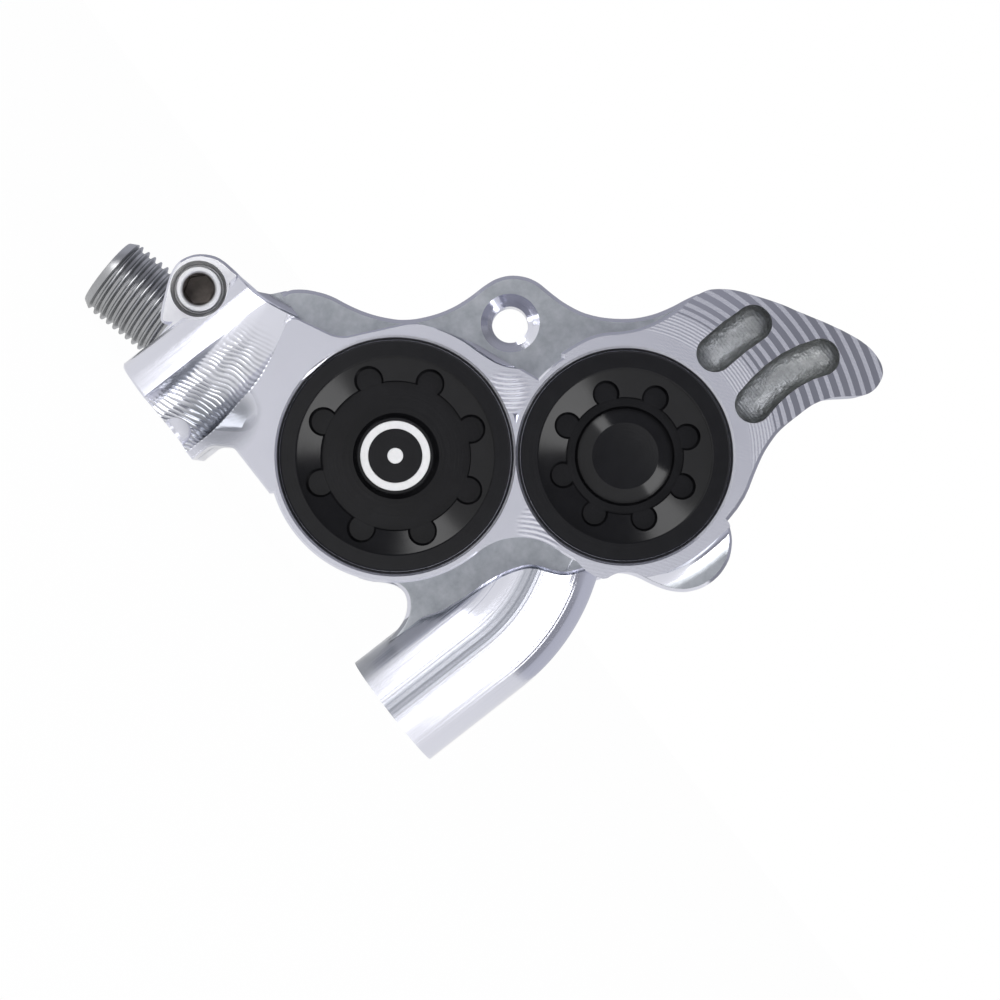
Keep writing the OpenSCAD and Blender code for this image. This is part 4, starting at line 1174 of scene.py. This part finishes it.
    def _slots(self) -> list[Shape]:
        """The two ball-milled slots in the fin."""
        r, air = MILLS.slot_r, PLACE.outer_y - 1.4
        slots = []
        for path in MILLS.slots:
            walls: list[Shape] = []
            for x, y, z in path:
                walls.append(Shape.rod((x, y, z), (x, air, z), r * 0.994, 40))
            for (x0, y0, z0), (x1, y1, z1) in zip(path, path[1:]):
                step = Vector((z1 - z0, x0 - x1)).normalized() * r * 0.99
                corners = [
                    (x0 + step.x, z0 + step.y, 0), (x1 + step.x, z1 + step.y, 0),
                    (x1 - step.x, z1 - step.y, 0), (x0 - step.x, z0 - step.y, 0),
                ]
                walls.append(Shape.slab(corners, air, max(y0, y1)))
            slots.append(self._mill(path, r).add(*walls))
        return slots

    def _carve(self, body: Shape) -> Shape:
        """Mills the ledges, the scoop, the fin's slots and the face round the bleed screw.

        Args:
            body: The body's outer form, which is used up.

        Returns:
            The milled body.
        """
        air = PLACE.outer_y - 2.0
        cuts = [
            Shape.soft_slab(self.upper_cut, air, PLACE.ledge_y, SHARP, Rim(1.15, 6)),
            Shape.soft_slab(self.lug_cut, air, PLACE.ledge_y, SHARP, Rim(1.9, 8)),
            self._mill(MILLS.scoop, MILLS.scoop_r),
            self._mill(MILLS.heel, MILLS.heel_r),
            self._mill(MILLS.flare, MILLS.flare_r),
            Shape.rod_y(PLACE.bleed, 2.95, air, PLACE.bleed_y + 0.05, 96),
            *self._slots(),
        ]
        return body.cut(*cuts)

    def _bore_cut(self, place: Point, piston: float, side: Side) -> Shape:
        """Bore of one piston with its two seal grooves.

        Args:
            place: Axis of the bore.
            piston: Radius of the piston.
            side: Side of the rotor.

        Returns:
            The space of the bore.
        """
        bore, deep = piston + 0.05, piston + 0.05 + self.groove
        heights = [(0, 3.85), (bore, 3.85), (bore, 6.1), (deep, 6.1), (deep, 7.0), (bore, 7.0), (bore, 7.4),
                   (deep, 7.4), (deep, 9.2), (bore, 9.2), (bore, 14.9), (0, 14.9)]
        return Shape.lathe(heights, 160).outward(place, side)

    def _cap_seat(self, place: Point, cap: float) -> Shape:
        """Stepped seat of one cap with the bright chamfer round it.

        Args:
            place: Axis of the cap.
            cap: Radius of the cap.

        Returns:
            The space of the seat.
        """
        top = PLACE.rotor_y - PLACE.outer_y
        inner = cap - 0.43
        return Shape.lathe([
            (0, 14.6), (inner, 14.6), (inner, 16.8), (cap + 0.05, 16.8), (cap + 0.05, top - 0.42),
            (cap + 0.45, top), (cap + 0.45, top + 1.0), (0, top + 1.0),
        ], 192).outward(place, Side.OUT)

    def _bores(self, body: Shape) -> Shape:
        """Cuts the rotor's space, the pad pocket, all bores, holes and passages.

        Args:
            body: The milled body, which is used up.

        Returns:
            The finished body.
        """
        ry, half = PLACE.rotor_y, PLACE.pocket_half
        box = [(-19.3, -8.8), (19.3, -8.8), (19.3, 40.8), (-19.3, 40.8)]
        pocket = Shape.slab([(*PLACE.on_bores(t, o), 0.6) for t, o in box], ry - half, ry + half)
        frame_holes = [
            Shape.lathe([(0, -1), (2.6, -1), (2.6, 0), (2.1, 0.5), (2.1, 12), (0, 12.8)], 64)
            .move(Matrix.Translation((x, 0, 0)))
            for x in (PLACE.foot_l, PLACE.foot_r)
        ]
        pin_hole = Shape.lathe([
            (0, 5), (1.65, 5), (1.65, 10.1), (2.05, 10.3), (2.05, 12.6), (2.65, 13.1), (2.65, 14.5),
            (0, 14.5),
        ], 64)
        pin_back = Shape.lathe([(0, 0), (2.7, 0), (2.7, 13.7), (3.0, 14.0), (3.0, 15), (0, 15)], 64)
        bleed_port = Shape.lathe([
            (0, 6.2), (1.0, 6.2), (1.0, 6.45), (2.1, 7.5), (2.1, 11.9), (2.2, 11.9), (2.55, 12.5),
            (2.55, 13.4), (0, 13.4),
        ], 64)
        cuts = [
            Shape.rod_y(PLACE.rotor, 71.5, ry - 2.1, ry + 2.1, 720),
            pocket,
            self._cap_seat(PLACE.bore_l, PLACE.cap_large_r),
            self._cap_seat(PLACE.bore_s, PLACE.cap_small_r),
            *frame_holes,
            pin_hole.outward(PLACE.pin, Side.OUT),
            pin_back.outward(PLACE.pin, Side.BACK),
            bleed_port.outward(PLACE.bleed, Side.OUT),
            *self._stud_drillings(),
        ]
        (lx, lz), (kx, kz) = PLACE.bore_l, PLACE.bore_s
        for side in Side:
            cuts.append(self._bore_cut(PLACE.bore_l, PLACE.large_r, side))
            cuts.append(self._bore_cut(PLACE.bore_s, PLACE.small_r, side))
            level = ry + side.value * 12.2
            cuts.append(Shape.rod((lx, level, lz), (kx, level, kz), self.passage, 32))
        return body.cut(*cuts)

    def _stud_drillings(self) -> list[Shape]:
        """The hose stud's seat, the plug's seat and the passages behind them."""
        ry, r = PLACE.rotor_y, self.passage
        axis, shoulder = PLACE.stud_axis, PLACE.stud_shoulder
        cross = shoulder - axis * 7.5
        bleed_x, bleed_z = PLACE.bleed
        return [
            Shape.rod(shoulder - axis * 6.05, shoulder + axis * 0.4, 2.92),
            Shape.rod(shoulder - axis * 1.0, shoulder + axis * 0.4, 3.9),
            Shape.rod(cross, shoulder, r, 32),
            Shape.rod((cross.x, ry - 7.2, cross.z), (cross.x, 27, cross.z), r, 32),
            Shape.rod((cross.x, 25, cross.z), (cross.x, 27.5, cross.z), 1.6, 48),
            Shape.rod((bleed_x, ry - 6.2, bleed_z), (cross.x, ry - 6.2, cross.z), r, 32),
        ]


@dataclass
class BoreCap:
    """Screwed cap over an outboard bore: flange, dished shelf with notches, recess and post."""

    finishes: Finishes
    name: str
    place: Point
    radius: float
    shelf_out: float
    shelf_in: float
    notch_at: float
    notch_r: float
    turn: float
    marked: bool
    top: float = 18.4
    floor: float = 16.0
    shelf_slope: float = 0.3

    def _post(self) -> list[Point]:
        """Profile of the post from its foot to the axis."""
        if self.marked:
            return [
                (3.85, self.floor), (3.55, self.floor + 0.25), (3.45, self.top - 0.12), (3.35, self.top),
                (3.12, self.top), (3.12, self.top - 0.22), (2.38, self.top - 0.22), (2.38, self.top),
                (0.72, self.top), (0.72, self.top - 0.22), (0, self.top - 0.22),
            ]
        return [
            (4.45, self.floor), (4.3, self.floor + 0.2), (4.2, self.floor + 0.95), (3.05, self.floor + 1.75),
            (2.95, self.floor + 1.8), (0, self.floor + 1.65),
        ]

    def build(self) -> None:
        """Turns the cap, cuts its notches and dresses it."""
        r, top, out, inner = self.radius, self.top, self.shelf_out, self.shelf_in
        thread = r - 0.45
        low = top - 0.75 - self.shelf_slope * (out - inner)
        profile = [
            (0, 14.9), (thread, 14.9), (thread, 15.05), (thread - 1.0, 15.05), (thread - 1.0, 16.15),
            (thread, 16.15), (thread, 16.8), (r, 16.8), (r, top - 0.15), (r - 0.15, top),
            (out + 0.12, top), (out, top - 0.12), (out, top - 0.75),
            (inner + 0.1, low), (inner, low - 0.1), (inner, self.floor), *self._post(),
        ]
        cap = Shape.lathe(profile, 192).outward(self.place, Side.OUT)
        notches = []
        for i in range(8):
            angle = radians(self.turn + 45 * i)
            at = (self.place[0] + self.notch_at * cos(angle), self.place[1] + self.notch_at * sin(angle))
            notches.append(
                Shape.lathe([
                    (0, self.floor + 0.2), (self.notch_r - 0.2, self.floor + 0.2),
                    (self.notch_r, self.floor + 0.4), (self.notch_r, top + 1), (0, top + 1),
                ], 48).outward(at, Side.OUT)
            )
        thing = cap.cut(*notches).piece(f"{self.name}_screwed")
        self.finishes.dress(thing, "cap_large" if self.marked else "cap_small")
        settle(thing, "caliper", "cap", self.name)


@dataclass
class RingMark:
    """White filling of the ring and dot in the large cap's post."""

    finishes: Finishes

    def build(self) -> None:
        """Makes the ring and the dot with softly rounded tops."""
        low, side, top = 18.2, 18.36, 18.4
        ring = Shape.lathe([
            (2.4, low), (3.1, low), (3.1, side), (3.04, top), (2.46, top), (2.4, side),
        ], 128)
        dot = Shape.lathe([(0, low), (0.7, low), (0.7, side), (0.64, top), (0, top)], 64)
        thing = ring.add(dot).outward(PLACE.bore_l, Side.OUT).piece("ring_and_dot")
        self.finishes.dress(thing, "mark")
        settle(thing, "caliper", "mark", "cap_ring_mark")


@dataclass
class HoseStud:
    """Steel stud with a helical male thread for the hose's nut."""

    finishes: Finishes
    crest: float = 3.875
    core: float = 3.44
    pitch: float = 0.75
    length: float = 8.8
    neck: float = 0.9

    def build(self) -> None:
        """Joins the thread to the core, chamfers its end and bores it."""
        core = Shape.lathe([
            (0, -6.0), (2.9, -6.0), (2.9, 0), (self.core, 0), (self.core, self.length - 0.95),
            (self.crest - 0.08, self.length - 0.75), (self.crest - 0.5, self.length), (0, self.length),
        ], 96)
        thread = Shape()
        bm = thread.bm
        half = self.pitch / 2
        tooth = [(self.core - 0.15, -half * 0.86), (self.crest - 0.03, -half * 0.18),
                 (self.crest, 0), (self.crest - 0.03, half * 0.18), (self.core - 0.15, half * 0.86)]
        face = bm.faces.new([bm.verts.new((r, 0, self.neck + h)) for r, h in tooth])
        turns, steps = 9, 64
        bmesh.ops.spin(
            bm, geom=[face, *face.verts, *face.edges], cent=(0, 0, 0), axis=(0, 0, 1),
            dvec=(0, 0, self.pitch / steps), angle=2 * pi * turns, steps=turns * steps,
        )
        bmesh.ops.remove_doubles(bm, verts=bm.verts[:], dist=1e-6)
        thread.face_out()
        chamfer = Shape.lathe([
            (0, -6.1), (4.6, -6.1), (4.6, self.length - 1.3), (3.35, self.length), (0, self.length),
        ], 96)
        bore = Shape.lathe([(0, -7), (1.0, -7), (1.0, 7.9), (2.0, 8.9), (2.0, 9.5), (0, 9.5)], 64)
        stud = core.add(thread).joined(Join.COMMON, [chamfer]).cut(bore)
        tilt = Matrix.Rotation(radians(-90 - PLACE.stud_tilt), 4, "Y")
        stud.move(Matrix.Translation((PLACE.stud[0], PLACE.rotor_y, PLACE.stud[1])) @ tilt)
        thing = stud.piece("threaded_hose_stud", 35)
        self.finishes.dress(thing, "stud")
        settle(thing, "caliper", "stud", "hose_stud")


@dataclass
class BleedScrew:
    """Bright socket-head screw in the bleed port."""

    finishes: Finishes
    radius: float = 2.05
    head: float = 12.4
    foot: float = 7.8

    def build(self) -> None:
        """Turns the screw and cuts its hexagon socket."""
        r, head, foot = self.radius, self.head, self.foot
        screw = Shape.lathe([
            (0, foot - 1.05), (1.0, foot - 1.05), (r, foot), (r, foot + 0.5), (r - 0.5, foot + 0.5),
            (r - 0.5, foot + 1.1), (r, foot + 1.1), (r, head - 0.2), (r - 0.04, head - 0.06),
            (r - 0.11, head), (0, head),
        ], 96)
        socket = Shape.lathe([(0, head - 2.4), (1.4434, head - 2.2), (1.4434, head + 1), (0, head + 1)], 6)
        mouth = Shape.lathe([
            (0, head - 0.9), (1.2, head - 0.45), (1.66, head + 0.01), (1.66, head + 1), (0, head + 1),
        ], 64)
        thing = screw.cut(socket, mouth).outward(PLACE.bleed, Side.OUT).piece("bleed_socket_screw")
        self.finishes.dress(thing, "bleed_screw")
        settle(thing, "bleed_screw", "bleed_screw", "bleed_screw")


@dataclass
class PadSpring:
    """Bent sheet spring that holds the pads apart, pressed flat as they close."""

    finishes: Finishes
    sheet: float = 0.35
    half: float = 3.5
    foot: float = 8.9
    top: float = 14.5
    leg: float = 1.8
    leg_at: float = 3.6
    keep: float = 0.66

    def _strip(self, t: float) -> Shape:
        """One U-shaped strip with rounded bends, standing across the pads.

        Args:
            t: Its place along the line of the bores, from their middle.

        Returns:
            The strip.
        """
        s, h = self.sheet, self.half
        outline = [
            (-h, self.foot, 0), (-h, self.top, 1.0), (h, self.top, 1.0), (h, self.foot, 0),
            (h - s, self.foot, 0), (h - s, self.top - s, 0.65), (s - h, self.top - s, 0.65),
            (s - h, self.foot, 0),
        ]
        strip = Shape.slab(outline, -self.leg / 2, self.leg / 2, Rim(0.06), Rim(0.06))
        ax, az = PLACE.along
        x, z = PLACE.on_bores(t, 0.0)
        frame_in_plane = Matrix(((0, ax, -az, x), (1, 0, 0, PLACE.rotor_y), (0, az, ax, z), (0, 0, 0, 1)))
        return strip.move(frame_in_plane)

    def build(self) -> None:
        """Joins both strips with two rails."""
        rails = []
        for sign in (-1, 1):
            box = [(-self.leg_at, self.top - self.sheet), (self.leg_at, self.top - self.sheet),
                   (self.leg_at, self.top), (-self.leg_at, self.top)]
            corners = [(*PLACE.on_bores(t, o), 0.0) for t, o in box]
            middle = PLACE.rotor_y + sign * (self.half - self.leg / 2 - 0.45)
            rails.append(Shape.slab(corners, middle - 0.5, middle + 0.5))
        whole = self._strip(-self.leg_at).add(self._strip(self.leg_at), *rails).face_out()
        thing = whole.piece("bent_pad_spring", 35)
        self.finishes.dress(thing, "spring")
        settle(thing, "caliper", "spring", "pad_spring")
        anchor = (PLACE.bore_mid[0] * MM, PLACE.rotor_y * MM, PLACE.bore_mid[1] * MM)
        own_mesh(thing)


@dataclass
class CarriedNodes:
    """CAD nodes that stay as they are and only get their finishes."""

    finishes: Finishes

    def finish_of(self, node: str) -> Optional[str]:
        """Chooses the finish of a CAD node.

        Args:
            node: Name of the node.

        Returns:
            Name of the finish, or None where a piece stands for the node.
        """
        if "seal" in node:
            return "seal"
        if node.startswith("piston"):
            return "piston_small" if node.endswith("small") else "piston_large"
        starts = {"pad_plate": "plate", "pad_lining": "lining", "passage_plug": "plug"}
        return next((finish for start, finish in starts.items() if node.startswith(start)), None)

    def build(self) -> None:
        """Dresses every CAD node that is still shown."""
        for name, node in sorted(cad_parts.items()):
            finish = self.finish_of(name)
            if finish and not node.hide_render:
                self.finishes.dress(node, finish)
                log.info("%s keeps its CAD shape, finish %s", name, finish)


@dataclass
class Studio:
    """Pale floor, soft lamps, surroundings and the camera of the photograph."""

    distance: float = 0.3252
    lens: float = 130.0
    centre: Point = (8.0, 19.3)
    roll: float = 52.0
    lamp_distance: float = 0.5
    front_level: float = 0.15
    dark_level: float = 0.25
    back_level: float = 0.34
    left_level: float = 0.10
    right_level: float = 0.10
    top_level: float = 0.12

    @property
    def across(self) -> Point:
        """The photograph's right, as x and z."""
        return cos(radians(self.roll)), sin(radians(self.roll))

    def _floor(self) -> None:
        """Wide pale floor under the feet."""
        bm = bmesh.new()
        bmesh.ops.create_grid(bm, x_segments=1, y_segments=1, size=3.0)
        mesh = bpy.data.meshes.new("floor")
        bm.to_mesh(mesh)
        bm.free()
        floor = linked("floor", mesh)
        g = Graph("pale_floor")
        g.finish(Base_Color=(0.93, 0.93, 0.935), Roughness=0.9)
        path = g.node("ShaderNodeLightPath").outputs
        glow = g.node("ShaderNodeEmission", {"Color": (1, 1, 1), "Strength": 1.0})
        seen = g.both(path["Is Camera Ray"], 0.985)
        share = g.math("MAXIMUM", seen, g.both(path["Is Glossy Ray"], 0.62))
        g.overlay(share, glow)
        mesh.materials.append(g.owner)

    def _world(self) -> None:
        """White behind the object for the camera, and a soft tent with darker gaps for the metal."""
        g = Graph("studio", world=True)
        bpy.context.scene.world = g.owner
        ax, az = self.across
        way = g.node("ShaderNodeTexCoord").outputs["Generated"]
        sideways = g.vector("DOT_PRODUCT", way, (ax, 0, az))
        upwards = g.vector("DOT_PRODUCT", way, (-az, 0, ax))
        ahead = g.vector("DOT_PRODUCT", way, (0, -1, 0))
        front = g.both(g.step(ahead, 0.80, 0.93), g.math("MULTIPLY_ADD", sideways, -0.5, self.front_level))
        level = g.total(front, self.dark_level)
        level = g.math("MULTIPLY_ADD", g.step(g.both(ahead, -1.0), -0.05, 0.45), self.back_level, level)
        level = g.math("MULTIPLY_ADD", g.step(g.both(sideways, -1.0), 0.45, 0.80), self.left_level, level)
        level = g.math("MULTIPLY_ADD", g.step(sideways, 0.86, 0.98), self.right_level, level)
        level = g.math("MULTIPLY_ADD", g.step(upwards, 0.45, 0.9), self.top_level, level)
        g.finish(Color=(0.87, 0.885, 1.0), Strength=level)
        white = g.node("ShaderNodeBackground", {"Color": (1, 1, 1), "Strength": 1.0})
        seen = g.node("ShaderNodeLightPath").outputs["Is Camera Ray"]
        g.overlay(seen, white)

    def _lamp(self, name: str, clock: float, off_axis: float, size: Point, radiance: float) -> None:
        """Softbox that looks at the object from beside the camera.

        Args:
            name: Name of the lamp.
            clock: Degrees from the photograph's right, counted towards its top.
            off_axis: Degrees between the camera and the lamp, seen from the object.
            size: Size in metres away from the camera and across.
            radiance: Brightness of its face, where 1 is white.
        """
        data = bpy.data.lights.new(name, "AREA")
        data.shape = "RECTANGLE"
        data.size, data.size_y = size
        data.energy = radiance * pi * size[0] * size[1]
        lamp = linked(name, data)
        swing = Matrix.Rotation(radians(clock), 4, "Z") @ Matrix.Rotation(radians(off_axis), 4, "Y")
        turn = self._view_turn() @ swing
        aim = Vector((self.centre[0] * MM, 0.0, self.centre[1] * MM))
        lamp.matrix_world = Matrix.Translation(aim) @ turn @ Matrix.Translation((0, 0, self.lamp_distance))

    def _view_turn(self) -> Matrix:
        """Turn of the camera, whose X is the photograph's right and Y its up."""
        ax, az = self.across
        return Matrix(((ax, -az, 0, 0), (0, 0, -1, 0), (az, ax, 0, 0), (0, 0, 0, 1)))

    def _camera(self) -> None:
        """Camera square to the outer face, rolled as in the photograph."""
        data = bpy.data.cameras.new("camera")
        data.lens = self.lens
        data.sensor_width = 36.0
        data.clip_start = 0.01
        camera = linked("camera", data)
        place = (self.centre[0] * MM, -self.distance, self.centre[1] * MM)
        camera.matrix_world = Matrix.Translation(place) @ self._view_turn()
        bpy.context.scene.camera = camera

    def build(self) -> None:
        """Sets up the camera, the floor, the surroundings and the lamps."""
        bpy.context.scene.view_settings.view_transform = "Standard"
        self._camera()
        self._floor()
        self._world()
        self._lamp("softbox_left", clock=134, off_axis=50, size=(0.56, 0.34), radiance=4.0)
        self._lamp("softbox_right", clock=-42, off_axis=51, size=(0.56, 0.42), radiance=4.0)


def main() -> None:
    """Builds the studio and every piece of the caliper in order."""
    logging.basicConfig(level=logging.INFO, format="%(name)s: %(message)s")
    Studio().build()
    finishes = Finishes()
    Body(finishes).build()
    BoreCap(
        finishes, "bore_cap_large", PLACE.bore_l, PLACE.cap_large_r, shelf_out=8.75, shelf_in=6.6,
        notch_at=7.1, notch_r=1.3, turn=26.6, marked=True,
    ).build()
    BoreCap(
        finishes, "bore_cap_small", PLACE.bore_s, PLACE.cap_small_r, shelf_out=7.7, shelf_in=5.15,
        notch_at=5.75, notch_r=1.2, turn=24.0, marked=False,
    ).build()
    RingMark(finishes).build()
    HoseStud(finishes).build()
    BleedScrew(finishes).build()
    PadSpring(finishes).build()
    CarriedNodes(finishes).build()


if __name__ == "__main__":
    main()
